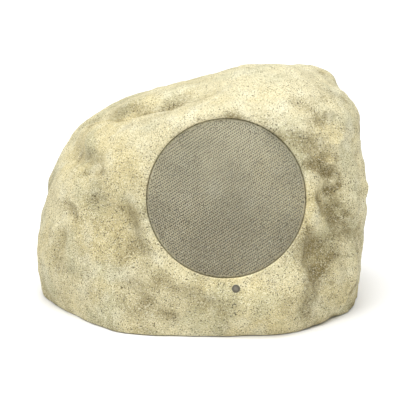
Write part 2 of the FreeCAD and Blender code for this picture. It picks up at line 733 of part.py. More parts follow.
def rubber_feet():
    """Feet whose stems pop through the base plate."""
    profile = [(0, 0), (FOOT_RADIUS - 1.5, 0), (FOOT_RADIUS, 1.5), (FOOT_RADIUS, PLATE_BOTTOM),
               (2.95, PLATE_BOTTOM), (2.95, PLATE_TOP + 0.1), (3.9, PLATE_TOP + 0.1),
               (2.2, PLATE_TOP + 3.0), (0, PLATE_TOP + 3.0)]
    feet = []
    for x, y in FOOT_PLACES:
        foot = turned(profile)
        foot.translate(Vec(x, y, 0))
        feet.append(foot)
    return group(feet)


def battery_tray():
    x, y = BATTERY_CENTRE
    width, depth = TRAY_SIZE
    tray = centred_block(width, depth, PLATE_TOP, PLATE_TOP + TRAY_HEIGHT, x, y)
    walls = 2 * TRAY_WALL
    return tray.cut(centred_block(width - walls, depth - walls, PLATE_TOP + TRAY_WALL, 60, x, y))


def battery_cells():
    """Round cells side by side, each with its raised contact."""
    cells = []
    height = CELL_TOP - CELL_RADIUS
    middle_x, middle_y = BATTERY_CENTRE
    for index in range(CELLS):
        x = middle_x + (index - (CELLS - 1) / 2) * CELL_PITCH
        start = middle_y - CELL_LENGTH / 2
        can = Part.makeCylinder(CELL_RADIUS, CELL_LENGTH, Vec(x, start, height), Vec(0, 1, 0))
        contact = Part.makeCylinder(3.0, 1.2, Vec(x, start + CELL_LENGTH, height), Vec(0, 1, 0))
        cells.append(can.fuse(contact))
    return group(cells)


def battery_straps():
    """Two bent steel straps over the cells, with a foot at each end."""
    x, y = BATTERY_CENTRE
    inner = TRAY_SIZE[0] / 2 + 0.1
    outer = inner + STRAP_THICKNESS
    foot = outer + 10
    top = CELL_TOP + 0.1
    straps = []
    for level in STRAP_LEVELS:
        y_range = (y + level - 7, y + level + 7)
        parts = [block((x - outer, x + outer), y_range, (top, top + STRAP_THICKNESS))]
        for side in (-1, 1):
            leg = sorted((x + side * inner, x + side * outer))
            toe = sorted((x + side * inner, x + side * foot))
            parts.append(block(leg, y_range, (PLATE_TOP, top + STRAP_THICKNESS)))
            parts.append(block(toe, y_range, (PLATE_TOP, PLATE_TOP + STRAP_THICKNESS)))
        straps.append(drilled(joined(parts), strap_screw_places(), 1.6, PLATE_TOP - 1, PLATE_TOP + 3))
    return group(straps)


def battery_protection_board():
    """Narrow board taped to the front of the battery tray."""
    x, y = BATTERY_CENTRE
    front = y - TRAY_SIZE[1] / 2
    board = block((x - 30, x + 30), (front - 1.4, front), (9, 20))
    chips = []
    for chip_x in (x - 20, x - 8, x + 8):
        chips.append(block((chip_x - 3, chip_x + 3), (front - 2.6, front - 1.3), (11, 17)))
    return joined([board] + chips)


def main_board():
    x, y = BOARD_CENTRE
    board = rounded_block(*BOARD_SIZE, 3, BOARD_BOTTOM, BOARD_TOP, x, y)
    return drilled(board, board_places(BOARD_HOLES), 1.6, BOARD_BOTTOM - 1, BOARD_TOP + 1)


def heat_sink():
    """Finned block on top of the amplifier chip."""
    (x, y), = board_places([(-8, -4)])
    low = BOARD_TOP + 1.2
    fins = [centred_block(28, 1.2, low + 2, low + 15, x, y + 3 * step) for step in range(-3, 4)]
    return joined([centred_block(28, 22, low, low + 2.5, x, y)] + fins)


def cans(offsets, radius, height):
    """Round parts standing on the amplifier board."""
    return group([disc(radius, BOARD_TOP, BOARD_TOP + height, x, y) for x, y in board_places(offsets)])


def wireless_module():
    (x, y), = board_places([(-19, 21)])
    base = centred_block(16, 22, BOARD_TOP, BOARD_TOP + 0.8, x, y)
    return joined([base, centred_block(14, 15, BOARD_TOP + 0.8, BOARD_TOP + 2.8, x, y - 2.5)])


SOCKETS = {"speaker": (-26, -29, 10, 6), "light": (-8, -29, 7, 6), "battery": (-37.5, -8, 6, 10),
           "panel": (6, 29, 14, 6)}
SOCKET_HEIGHT = 6.0


def board_sockets():
    sockets = []
    for dx, dy, width, depth in SOCKETS.values():
        (x, y), = board_places([(dx, dy)])
        sockets.append(centred_block(width, depth, BOARD_TOP, BOARD_TOP + SOCKET_HEIGHT, x, y))
    return group(sockets)


def base_nodes():
    x, y = BOARD_CENTRE
    strap_seat = PLATE_TOP + STRAP_THICKNESS
    return {
        "base_plate": base_plate(),
        "base_seal": base_seal(),
        "base_screws": base_screws(),
        "rubber_feet": rubber_feet(),
        "battery_tray": battery_tray(),
        "battery_cells": battery_cells(),
        "battery_straps": battery_straps(),
        "battery_strap_screws": group([pan_screw(strap_seat, 2.4, 1.6, 1.25, 3.6, *place)
                                       for place in strap_screw_places()]),
        "battery_protection_board": battery_protection_board(),
        "main_board": main_board(),
        "main_board_screws": group([pan_screw(BOARD_TOP, 2.6, 1.8, 1.25, 7.0, *place)
                                    for place in board_places(BOARD_HOLES)]),
        "amplifier_chip": centred_block(12, 12, BOARD_TOP, BOARD_TOP + 1.2, x - 8, y - 4),
        "heat_sink": heat_sink(),
        "board_capacitors": cans(((21, -17), (33, -17), (21, -4), (33, -4)), 5.0, 16.0),
        "board_inductors": cans(((20, 15), (34, 14)), 6.0, 7.0),
        "wireless_module": wireless_module(),
        "board_sockets": board_sockets(),
    }


# ------------------------------------------------------------------ leads inside the rock
def bend_radius(before, corner, after):
    """Largest arc at a corner that leaves a tenth of the shorter run straight."""
    inward = (corner - before)
    onward = (after - corner)
    turn = inward.getAngle(onward)
    return 0.45 * min(inward.Length, onward.Length) / math.tan(turn / 2)


def lead(name, points, radius):
    """Round wire along straight runs joined by tangent arcs."""
    points = [Vec(*point) for point in points]
    edges = []
    start = points[0]
    radii = []
    for before, corner, after in zip(points, points[1:], points[2:]):
        bend = bend_radius(before, corner, after)
        radii.append(bend)
        inward = (corner - before).normalize()
        onward = (after - corner).normalize()
        turn = inward.getAngle(onward)
        trim = bend * math.tan(turn / 2)
        arc_start = corner - inward * trim
        arc_end = corner + onward * trim
        to_middle = (onward - inward).normalize()
        arc_middle = corner + to_middle * (bend / math.cos(turn / 2) - bend)
        edges.append(Part.LineSegment(start, arc_start).toShape())
        edges.append(Part.Arc(arc_start, arc_middle, arc_end).toShape())
        start = arc_end
    edges.append(Part.LineSegment(start, points[-1]).toShape())
    path = Part.Wire(edges)
    outline = Part.Wire(Part.makeCircle(radius, points[0], points[1] - points[0]))
    tube = path.makePipeShell([outline], True, False)
    print(name, "length %.0f" % path.Length, "tightest bend %.1f" % min(radii),
          "volume ratio %.3f" % (tube.Volume / (math.pi * radius ** 2 * path.Length)))
    return tube


def socket_end(name, radius, shift=0.0):
    """Where a lead of this radius meets its socket on the amplifier board."""
    dx, dy, _, _ = SOCKETS[name]
    (x, y), = board_places([(dx, dy)])
    return Vec(x + shift, y, BOARD_TOP + SOCKET_HEIGHT + radius)


def speaker_lead(tab_y, shift):
    """One wire from a terminal tab, under the magnet, to the amplifier board."""
    radius = 1.0
    tab = FACE.multVec(terminal_frame().multVec(Vec(42.0 + radius, tab_y, 0.4)))
    beyond = FACE.multVec(terminal_frame().multVec(Vec(54.0, tab_y, 1.5)))
    route = [tab, beyond, (48 + shift, -61, 42), (50 + shift, -40, 29), (48 + shift, -18, 27),
             (42 + shift, -2, 33), (39 + shift, 10, 34), socket_end("speaker", radius, shift)]
    return lead("speaker_leads", route, radius)


def battery_lead():
    radius = 1.3
    front = BATTERY_CENTRE[1] - TRAY_SIZE[1] / 2 - 1.4 - radius
    route = [(-14, front, 15), (-12, front - 10, 16), (-1, front - 16, 20), (12, front - 12, 27),
             (22, front - 2, 33), (27, front + 9, 34), socket_end("battery", radius)]
    return lead("battery_lead", route, radius)


def light_lead():
    radius = 0.9
    x, y = LIGHT_PLACE
    start = FACE.multVec(Vec(x, y + 3, LIGHT_BOSS_BACK - 2.2 - radius))
    below = (start.x + 1, start.y + 11, start.z - 3)
    route = [start, below, (36, -72, 33), (49, -54, 22), (58, -32, 19),
             (60, -10, 25), (58, 4, 33), (57, 13, 34), socket_end("light", radius)]
    return lead("light_lead", route, radius)


def panel_lead():
    radius = 1.6
    start = PANEL.multVec(Vec(-20, -6, CONTROL_BOARD_BACK - radius))
    beyond = (23, start.y - 11, start.z - 6)
    route = [start, beyond, (34, 79, 62), (50, 77, 48), (64, 76, 42), (71, 73, 34),
             socket_end("panel", radius)]
    return lead("panel_lead", route, radius)


def lead_nodes():
    return {
        "speaker_leads": group([speaker_lead(-7, -2.5), speaker_lead(7, 2.5)]),
        "battery_lead": battery_lead(),
        "light_lead": light_lead(),
        "panel_lead": panel_lead(),
    }


def main():
    os.makedirs("parts", exist_ok=True)
    nodes = {"rock_shell": rock_shell()}
    for section in (face_nodes(), panel_nodes(), base_nodes(), lead_nodes()):
        nodes.update(section)
    for node, shape in nodes.items():
        assert shape.isValid() and shape.Volume > 0, node
        shape.exportStep("parts/%s.step" % node)
    print(len(nodes), "nodes")


main()
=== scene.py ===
"""Looks of the garden-rock loudspeaker: a rough, speckled cast rock, a perforated grille painted to
match it, and the finish of every part behind it, under it and inside it.

Places and sizes are millimetres in the part's own frame: +Z up, the grille facing -Y. Meshes are
scaled to metres as they are made."""

import json
import math

import bmesh
import bpy
import numpy as np
from mathutils import Matrix, Vector


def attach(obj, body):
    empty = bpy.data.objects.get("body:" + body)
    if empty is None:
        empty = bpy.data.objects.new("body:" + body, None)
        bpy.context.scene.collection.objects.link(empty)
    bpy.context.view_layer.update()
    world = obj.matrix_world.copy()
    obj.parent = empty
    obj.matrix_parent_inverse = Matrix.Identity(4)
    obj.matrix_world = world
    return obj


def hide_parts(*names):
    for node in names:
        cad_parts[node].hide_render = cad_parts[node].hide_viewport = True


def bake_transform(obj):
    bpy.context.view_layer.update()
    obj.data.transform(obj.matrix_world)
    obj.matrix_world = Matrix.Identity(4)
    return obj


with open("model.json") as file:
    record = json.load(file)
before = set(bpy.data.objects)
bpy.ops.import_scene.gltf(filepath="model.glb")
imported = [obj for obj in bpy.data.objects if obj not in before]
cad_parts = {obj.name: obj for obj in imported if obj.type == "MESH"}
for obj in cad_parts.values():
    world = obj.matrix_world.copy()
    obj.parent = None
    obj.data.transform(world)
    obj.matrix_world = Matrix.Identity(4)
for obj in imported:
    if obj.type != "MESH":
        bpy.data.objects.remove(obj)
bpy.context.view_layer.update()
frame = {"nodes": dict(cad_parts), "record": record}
MM = 0.001

# ------------------------------------------------------------------ sizes shared with the CAD part
WALL = 5.0
RIM_Z = 2.0
SKIRT_Z = 0.9                               # the cast edge hangs a little below the CAD's plain rim
ROCK_CENTRE = np.array((3.0, -4.0, 84.0))
EDGE_WEAR = 5.0
ROCK_FACES = (
    (-85, 12, 112), (-120, 9, 120), (-146, 8, 132), (176, -2, 150), (184, 21, 132), (186, 46, 121),
    (166, 67, 105), (150, 79, 106), (60, 84, 121), (-92, 52, 125), (-135, 50, 118), (-4, 65, 143),
    (6, 36, 156), (4, 5, 138), (2, -4, 137.5), (-44, 6, 133), (-45, 45, 148), (-92, -8, 126),
    (-138, -14, 144), (-42, -14, 145), (-160, -20, 162), (90, 10, 114), (135, 14, 127),
    (45, 12, 133), (92, 50, 119), (0, -90, 98),
)                                           # azimuth, elevation and distance of each worn face
BROAD_RELIEF = (
    ("roof_groove", (-84, -34, 166), (-24, -66, 180), 12, -4),
    ("roof_ridge", (-72, 1, 178), (-34, 11, 187), 14, 3),
    ("brow_swell", (-62, -74, 152), (-22, -88, 168), 14, 3),
    ("left_boss", (-112, -24, 161), (-98, -44, 158), 12, 4),
    ("left_notch", (-124, 12, 136), (-106, -56, 134), 12, -6),
    ("left_hollow", (-68, -101, 100), (-54, -107, 84), 13, -4),
    ("crown_swell", (30, -4, 200), (70, -14, 203), 20, 9),
    ("shoulder_swell", (112, -10, 186), (118, -20, 180), 14, 3),
    ("right_lump", (124, -56, 110), (118, -66, 96), 12, 5),
    ("right_bulge", (136, -24, 92), (136, -14, 84), 14, 4),
    ("right_valley", (102, -90, 62), (110, -86, 32), 12, -6),
    ("toe_lump_right", (82, -112, 38), (68, -116, 30), 12, 4),
    ("toe_ridge", (-16, -126, 44), (40, -126, 24), 12, 4),
    ("toe_bay_right", (48, -124, 2), (84, -112, 2), 14, -4),
    ("corner_right", (130, -44, 6), (120, -66, 6), 14, -2),
    ("corner_left", (-132, -34, 6), (-112, -64, 6), 14, -3),
)                                           # name, start, end, radius, height (- for a hollow)
FACE_CENTRE = np.array((19.5, -106.0, 116.0))
FACE_ANGLES = (-87.0, 13.5)                 # azimuth and tilt of the grille's face
LAND_RADIUS = 69.0                          # the rock is flat this far round the grille's axis
LAND_BLEND = 15.0
LAND_DEPTH = (20.0, 45.0)                   # the flat fades out between these depths
POCKET_RADIUS = 66.2
GRILLE_SEAT = -9.0                          # heights along the grille's axis from its face
DRIVER_SEAT = -17.0
BAFFLE_BACK = -23.0
BAFFLE_RADIUS = 76.0
DRIVER_POCKET_RADIUS = 58.5
DRIVER_HOLE_RADIUS = 49.5
DRIVER_SCREW_CIRCLE = 54.0
GRILLE_EDGE = -3.2
GRILLE_DOME = 2.5
LIGHT_PLACE = (6.9, -74.7)
LIGHT_HOLE = 3.5
LIGHT_BOSS = 10.0
DRIVER_SCREWS = 4
DRIVER_SCREW_HOLE = 1.75
PANEL_CENTRE = np.array((0.0, 110.35, 92.0))
PANEL_ANGLES = (90.0, 10.0)
PANEL_SCREW_HOLE = 1.3
PANEL_SIZE = (132.0, 42.0)
PANEL_CORNER = 8.0
PANEL_GAP = 1.0                             # round the panel in its pocket
PANEL_POCKET = -5.0
PANEL_WINDOW = (116.0, 28.0, 4.0)           # width, height and corner of the opening behind it
PANEL_PAD = (150.0, 60.0, 12.0)
PANEL_PAD_BACK = -12.0
PANEL_SCREWS = ((-61.5, -16), (61.5, -16), (-61.5, 16), (61.5, 16), (0, 18), (0, -18))
KEY_PLACES = (("power", -50), ("pair", -30), ("volume_down", -10), ("volume_up", 10))
KEY_FACE = 0.4
LEDGE = (8.0, 12.0)                         # bottom and top of the ledge that takes the base plate
LEDGE_REACH = 19.0
SCREW_INSET = 12.5
BASE_SCREWS = 6
BASE_SCREW_HOLE = 1.55
BOSS_RADIUS = 5.5
BOSS_TOP = 24.0

# ------------------------------------------------------------------ sizes of the finer looks
FINE_RELIEF = (
    ("gash", (80, -71, 187), (96, -76, 174), 3.5, -5.5, 0.5),
    ("gash_lip", (86, -66, 189), (101, -70, 177), 6, 2, 0),
    ("crown_pit", (108, -34, 191), (117, -30, 188), 5, -3.5, 0.4),
    ("shoulder_band", (76, -94, 160), (104, -84, 150), 6, -5, 0.5),
    ("boulder", (104, -84, 140), (118, -70, 132), 9, 5, 0),
    ("ledge_crease", (86, -96, 142), (106, -84, 131), 3.2, -5.5, 0.7),
    ("right_pits", (95, -96, 114), (104, -89, 102), 4, -5.5, 0.7),
    ("right_hollow", (107, -86, 112), (114, -82, 92), 6, -6, 0.5),
    ("right_knob", (120, -76, 104), (122, -74, 96), 8, 3.5, 0),
    ("lower_pit", (119, -78, 83), (126, -72, 75), 4, -5, 0.6),
    ("valley_head", (84, -108, 76), (100, -98, 66), 7, -5, 0.45),
    ("valley_run", (92, -102, 62), (100, -94, 36), 5, -6, 0.65),
    ("valley_bank", (112, -88, 58), (116, -84, 34), 9, 4, 0),
    ("roof_pit", (-70, -24, 166), (-60, -28, 171), 4, -4.5, 0.6),
    ("groove_left", (-99, 20, 153), (-62, -27, 170), 5.5, -6, 0.3),
    ("groove_middle", (-62, -27, 170), (-28, -49, 183), 5.5, -5.5, 0.3),
    ("groove_high", (-28, -49, 183), (6, -49, 195), 7, -5, 0.22),
    ("roof_band", (-60, -10, 177), (-20, -22, 190), 9, 4, 0),
    ("notch_crease", (-116, -10, 132), (-90, -73, 137), 5, -6, 0.3),
    ("left_nick", (-110, -68, 97), (-108, -72, 92), 3, -2.5, 0.5),
    ("left_rib", (-124, -56, 74), (-132, -48, 46), 5, 4, 0),
    ("left_groove", (-117, -62, 70), (-124, -58, 44), 5, -4.5, 0.25),
    ("left_cheek", (-92, -86, 104), (-64, -102, 94), 9, -4.5, 0.38),
    ("left_jowl", (-64, -104, 88), (-54, -108, 72), 7, -3.5, 0.3),
    ("left_swell", (-96, -80, 78), (-70, -100, 62), 12, 3, 0),
    ("toe_hollow", (-61, -114, 38), (-44, -120, 28), 6, -3.5, 0.2),
    ("toe_pits", (-36, -120, 20), (-26, -121, 19), 2.5, -2.5, 0.6),
    ("toe_crease", (-30, -118, 46), (14, -126, 26), 6, -4, 0.3),
    ("toe_bank", (20, -124, 24), (60, -122, 22), 8, 3, 0),
    ("back_shelf", (-90, 78, 126), (-10, 96, 152), 13, 5, 0),
    ("back_groove", (-116, 52, 96), (-52, 84, 152), 6, -6, 0.35),
    ("back_valley", (70, 70, 174), (100, 84, 108), 8, -6, 0.4),
    ("back_rib", (100, 44, 180), (118, 66, 108), 9, 4, 0),
    ("back_hollow", (-60, 112, 44), (-10, 118, 36), 11, -4, 0.3),
    ("back_knee", (30, 118, 40), (70, 110, 34), 12, 4, 0),
    ("side_groove", (124, 16, 150), (134, 34, 66), 7, -6, 0.45),
    ("side_crack", (132, -12, 108), (130, 24, 96), 4, -5, 0.5),
    ("side_pit", (134, -14, 58), (138, 10, 48), 6, -4, 0.45),
    ("left_back_groove", (-134, 14, 92), (-122, 52, 34), 7, -5.5, 0.35),
    ("left_back_rib", (-128, 44, 92), (-112, 66, 60), 9, 4, 0),
    ("crown_crease", (10, 22, 206), (84, 36, 196), 5, -4.5, 0.3),
    ("crown_back", (40, 56, 190), (86, 58, 180), 10, 4.5, 0),
    ("right_trim", (142, -24, 140), (146, -16, 66), 26, -3, 0),
    ("crown_trim", (94, -10, 210), (107, -14, 206), 12, -7, 0),
    ("toe_corner", (92, -108, 4), (106, -98, 4), 9, 5, 0),
    ("under_brow", (24, -91, 181), (66, -92, 162), 3.5, 0, 0.5),
)                                           # name, start, end, radius, height and how much grime and painted shade it gets
CREVICES = (
    ("crevice_brow", (90, -92, 160), (105, -84, 145)),
    ("crevice_ledge", (93, -92, 142), (112, -80, 129)),
    ("crevice_middle", (99, -90, 117), (115, -79, 98)),
    ("crevice_bend", (115, -79, 98), (127, -70, 87)),
    ("crevice_side", (121, -75, 80), (135, -62, 70)),
    ("crevice_low", (84, -106, 62), (106, -98, 28)),
    ("crevice_roof", (-98, 0, 150), (-64, -30, 168)),
    ("crevice_roof_high", (-64, -30, 168), (-20, -50, 186)),
    ("crevice_left", (-106, -66, 128), (-88, -80, 132)),
    ("crevice_cheek", (-116, -66, 98), (-108, -74, 90)),
)                                           # name, and two points that are pulled onto the skin
CREVICE_SHAPE = (2.4, -3.6, 0.5)            # radius, height and how much grime and painted shade they get
LIP = 1.6                                   # radius of the worn edge round the grille
ROUGHNESS = ((38.0, 2.2), (16.0, 1.6), (7.0, 0.65), (3.2, 0.28))     # size and height of the noise
RIDGES = (22.0, 0.9)                        # size and height of the sharp ridges
DEEPEST_DENT = 3.0                          # the noise never cuts deeper than this
CAVITY_WALL = WALL + 2.5                    # leaves the roughened wall thick enough everywhere
POCKET_SHADE_MARK = 3.0                             # value that marks the pocket behind the grille for near-black painted shade
CLEAR = 20.0                                # height over a face that is clear of the rock
WIDE = 400.0                                # wider than the rock

CAMERA_AIM = Vector((-2.4, -5.2, 85.8)) * MM
CAMERA_RISE = 16.0                          # degrees above the horizon
CAMERA_DISTANCE = 2.0
CAMERA_WIDTH = 0.348                        # width of the view at the aim point


# ------------------------------------------------------------------ small tools
def direction(azimuth, elevation):
    """Unit vector from two angles in degrees."""
    turn = math.radians(azimuth)
    rise = math.radians(elevation)
    return np.array((math.cos(turn) * math.cos(rise), math.sin(turn) * math.cos(rise), math.sin(rise)))


def surface_frame(origin, azimuth, tilt):
    """Matrix of a face: local x to the right of someone who looks at it, y up, z outward."""
    outward = direction(azimuth, tilt)
    across = direction(azimuth + 90, 0)
    matrix = np.eye(4)
    matrix[:3, 0] = across
    matrix[:3, 1] = np.cross(outward, across)
    matrix[:3, 2] = outward
    matrix[:3, 3] = origin
    return matrix


GROUND = np.eye(4)
FACE = surface_frame(FACE_CENTRE, *FACE_ANGLES)
PANEL = surface_frame(PANEL_CENTRE, *PANEL_ANGLES)


def eased(share):
    """Smooth step from 0 to 1."""
    share = np.clip(share, 0.0, 1.0)
    return share * share * (3 - 2 * share)


def make_mesh(name, points, faces, place=GROUND):
    """Object from points in millimetres in a local frame."""
    points = np.asarray(points, float) @ place[:3, :3].T + place[:3, 3]
    mesh = bpy.data.meshes.new(name)
    mesh.from_pydata((points * MM).tolist(), [], [list(face) for face in faces])
    mesh.update()
    obj = bpy.data.objects.new(name, mesh)
    bpy.context.scene.collection.objects.link(obj)
    return obj


def lathe(name, profile, place=GROUND, steps=128, closed=True):
    """Solid of revolution about local z, from (radius, height) points; radius 0 ends on the axis."""
    points = []
    rings = []
    for radius, height in profile:
        start = len(points)
        if radius == 0:
            points.append((0, 0, height))
            rings.append([start] * steps)
            continue
        for step in range(steps):
            turn = 2 * math.pi * step / steps
            points.append((radius * math.cos(turn), radius * math.sin(turn), height))
        rings.append(list(range(start, start + steps)))
    faces = []
    pairs = list(zip(rings, rings[1:]))
    if closed:
        pairs.append((rings[-1], rings[0]))
    for low, high in pairs:
        for step in range(steps):
            after = (step + 1) % steps
            corners = (low[step], low[after], high[after], high[step])
            face = list(dict.fromkeys(corners))
            if len(face) > 2:
                faces.append(face)
    obj = make_mesh(name, points, faces, place)
    face_outward(obj)
    return obj


def sector(name, profile, place, start, end, steps):
    """Closed wedge of a turned solid, between two angles in degrees."""
    count = len(profile)
    points = []
    for step in range(steps + 1):
        turn = math.radians(start + (end - start) * step / steps)
        for radius, height in profile:
            points.append((radius * math.cos(turn), radius * math.sin(turn), height))
    faces = [list(range(count)), list(range(steps * count, (steps + 1) * count))]
    for step in range(steps):
        for index in range(count):
            after = (index + 1) % count
            low = step * count
            high = low + count
            faces.append((low + index, low + after, high + after, high + index))
    obj = make_mesh(name, points, faces, place)
    face_outward(obj)
    return obj


def face_outward(obj):
    """Turns every face of a closed mesh to the outside."""
    shape = bmesh.new()
    shape.from_mesh(obj.data)
    bmesh.ops.recalc_face_normals(shape, faces=shape.faces)
    shape.to_mesh(obj.data)
    shape.free()


def rod(name, radius, low, high, x=0.0, y=0.0, place=GROUND, steps=32):
    """Upright cylinder at (x, y) of a local frame."""
    shift = np.eye(4)
    shift[:3, 3] = (x, y, 0)
    profile = [(0, low), (radius, low), (radius, high), (0, high)]
    return lathe(name, profile, place @ shift, steps, False)


def rounded_outline(width, depth, corner, steps=8):
    """Points of a rectangle with round corners, centred on the origin."""
    points = []
    for index, (side_x, side_y) in enumerate(((1, 1), (-1, 1), (-1, -1), (1, -1))):
        for step in range(steps + 1):
            turn = math.pi / 2 * (index + step / steps)
            points.append((side_x * (width / 2 - corner) + corner * math.cos(turn),
                           side_y * (depth / 2 - corner) + corner * math.sin(turn)))
    return points


def prism(name, outline, low, high, place=GROUND):
    """Upright solid over a closed outline of (x, y) points."""
    count = len(outline)
    points = [(x, y, low) for x, y in outline] + [(x, y, high) for x, y in outline]
    faces = [list(range(count))[::-1], list(range(count, 2 * count))]
    faces += [(i, (i + 1) % count, count + (i + 1) % count, count + i) for i in range(count)]
    return make_mesh(name, points, faces, place)


def bake_modifiers(obj):
    """Turns an object's modifiers into its mesh."""
    depsgraph = bpy.context.evaluated_depsgraph_get()
    finished = bpy.data.meshes.new_from_object(obj.evaluated_get(depsgraph))
    obj.modifiers.clear()
    obj.data = finished


def combine(solid, tool, operation):
    """Adds a closed solid to another ("UNION"), or cuts it away ("DIFFERENCE")."""
    step = solid.modifiers.new("combine", "BOOLEAN")
    step.operation = operation
    step.solver = "MANIFOLD"
    step.object = tool
    bake_modifiers(solid)
    bpy.data.objects.remove(tool)
    return solid


def smooth(obj, angle=40.0):
    """Smooth shading, except where faces meet at more than the angle."""
    obj.data.polygons.foreach_set("use_smooth", [True] * len(obj.data.polygons))
    obj.data.set_sharp_from_angle(angle=math.radians(angle))
    return obj


def vertices(obj):
    """Points of a mesh, in millimetres."""
    points = np.empty(len(obj.data.vertices) * 3)
    obj.data.vertices.foreach_get("co", points)
    return points.reshape(-1, 3) / MM


def local(points, place):
    """Points seen in a local frame."""
    return (points - place[:3, 3]) @ place[:3, :3]


# ------------------------------------------------------------------ noise
LATTICE_SIDE = 32
LATTICE = np.random.default_rng(11).uniform(-1.0, 1.0, (LATTICE_SIDE,) * 3)
TURN = np.array(Matrix.Rotation(0.7, 3, Vector((0.3, 0.5, 0.8)))).astype(float)


def value_noise(points, size):
    """Smooth noise in -1..1 whose lumps are about `size` across."""
    at = (points @ TURN) / size + size
    cell = np.floor(at).astype(int)
    share = eased(at - cell)
    total = np.zeros(len(points))
    for corner in range(8):
        bits = np.array(((corner >> 2) & 1, (corner >> 1) & 1, corner & 1))
        index = (cell + bits) % LATTICE_SIDE
        weight = np.where(bits, share, 1 - share).prod(axis=1)
        total += weight * LATTICE[index[:, 0], index[:, 1], index[:, 2]]
    return total


# ------------------------------------------------------------------ the rock's skin
FACE_NORMALS = np.array([direction(azimuth, elevation) for azimuth, elevation, _ in ROCK_FACES])
FACE_REACH = np.array([reach for _, _, reach in ROCK_FACES], float)
FACE_OUTWARD = FACE[:3, 2]
SPOTS = [spot + (0,) for spot in BROAD_RELIEF] + list(FINE_RELIEF)


def nearness(points, start, end, radius):
    """1 on a line from start to end, fading to 0 over about twice the radius."""
    first = np.array(start, float)
    along = np.array(end, float) - first
    share = np.clip((points - first) @ along / (along @ along), 0, 1)
    away = points - first - share[:, None] * along
    return np.exp(-(away ** 2).sum(axis=1) / (2.0 * radius ** 2))


def depth_in_rock(points):
    """Distance above the skin, negative inside the rock."""
    heights = (points - ROCK_CENTRE) @ FACE_NORMALS.T - FACE_REACH
    highest = heights.max(axis=1)
    height = highest + EDGE_WEAR * np.log(np.exp((heights - highest[:, None]) / EDGE_WEAR).sum(axis=1))
    for _, start, end, radius, rise, _ in SPOTS:
        height -= rise * nearness(points, start, end, radius)
    from_face = points - FACE_CENTRE
    above_face = from_face @ FACE_OUTWARD
    off_axis = np.sqrt(np.maximum(0, (from_face ** 2).sum(axis=1) - above_face ** 2))
    near, far = LAND_DEPTH
    land = (1 - eased((off_axis - LAND_RADIUS) / LAND_BLEND)) * eased((above_face + far) / (far - near))
    return (1 - land) * height + land * above_face


def reach_skin(start, rays, wall=0.0):
    """Where rays from inside the rock leave the surface `wall` under its skin."""
    near = np.full(len(rays), 20.0)
    far = np.full(len(rays), 240.0)
    for _ in range(17):
        middle = (near + far) / 2
        outside = depth_in_rock(start + rays * middle[:, None]) > -wall
        far = np.where(outside, middle, far)
        near = np.where(outside, near, middle)
    return start + rays * near[:, None]


def cut_crevices():
    """Adds the narrow crevices, each along the skin that the other relief leaves."""
    for name, start, end in CREVICES:
        ends = np.array((start, end), float) - ROCK_CENTRE
        low, high = reach_skin(ROCK_CENTRE, ends / np.linalg.norm(ends, axis=1)[:, None])
        SPOTS.append((name, low, high) + CREVICE_SHAPE)


cut_crevices()


def face_distance(rays):
    """How far from the grille's axis each ray from the rock's middle crosses the grille's plane."""
    slope = np.maximum(rays @ FACE_OUTWARD, 0.05)
    hits = ROCK_CENTRE + rays * (((FACE_CENTRE - ROCK_CENTRE) @ FACE_OUTWARD) / slope)[:, None]
    away = np.linalg.norm(hits - FACE_CENTRE, axis=1)
    return np.where(rays @ FACE_OUTWARD > 0.1, away, 1e3)


def round_mesh(level, refinements):
    """Directions and triangles of a ball, split finer where each of the refinements says."""
    shape = bmesh.new()
    bmesh.ops.create_icosphere(shape, subdivisions=level, radius=1.0)
    for wanted in refinements:
        middles = np.array([face.calc_center_median()[:] for face in shape.faces])
        chosen = wanted(middles / np.linalg.norm(middles, axis=1)[:, None])
        edges = {edge for face, take in zip(shape.faces, chosen) if take for edge in face.edges}
        bmesh.ops.subdivide_edges(shape, edges=list(edges), cuts=1, use_grid_fill=True)
        bmesh.ops.triangulate(shape, faces=shape.faces[:])
    rays = np.array([vertex.co[:] for vertex in shape.verts])
    faces = [[vertex.index for vertex in face.verts] for face in shape.faces]
    shape.free()
    return rays / np.linalg.norm(rays, axis=1)[:, None], faces


def panel_clearance(points):
    """0 on the control panel's pocket, rising to 1 a little way off it."""
    at = local(points, PANEL)
    beyond_x = np.maximum(np.abs(at[:, 0]) - PANEL_SIZE[0] / 2 - 2, 0)
    beyond_y = np.maximum(np.abs(at[:, 1]) - PANEL_SIZE[1] / 2 - 2, 0)
    depth = np.maximum(np.abs(at[:, 2]) - 12, 0)
    return eased(np.sqrt(beyond_x ** 2 + beyond_y ** 2 + depth ** 2) / 14)


def ruggedness(points):
    """The rock is roughest right of the grille, and rougher round the back than on its smooth left."""
    craggy = eased((points[:, 0] - 60) / 40) * (0.35 + 0.65 * eased((-points[:, 1] - 35) / 35))
    return 0.6 + 1.2 * craggy + 0.3 * eased((points[:, 1] - 10) / 60)


def roughened(points, rays):
    """The skin with its weathered surface: lumps of several sizes, and a worn edge at the grille."""
    bump = np.zeros(len(points))
    for size, height in ROUGHNESS:
        bump += height * value_noise(points, size)
    ridge_size, ridge_height = RIDGES
    ridge = 0.5 - np.abs(value_noise(points, ridge_size)) * 2
    bump += ridge_height * ridge * ruggedness(points)
    at = local(points, FACE)
    off_axis = np.hypot(at[:, 0], at[:, 1])
    on_face = at[:, 2] > -40
    calm = np.where(on_face, 0.12 + 0.88 * eased((off_axis - POCKET_RADIUS - 1) / 16), 1.0)
    bump *= calm * ruggedness(points) * panel_clearance(points)
    bump = np.where(bump < 0, DEEPEST_DENT * np.tanh(bump / DEEPEST_DENT), bump)
    points = points + rays * bump[:, None]
    inward = np.clip(POCKET_RADIUS + LIP - off_axis, 0, LIP)
    drop = np.where(on_face, LIP - np.sqrt(LIP ** 2 - inward ** 2), 0)
    return points - FACE_OUTWARD * drop[:, None]


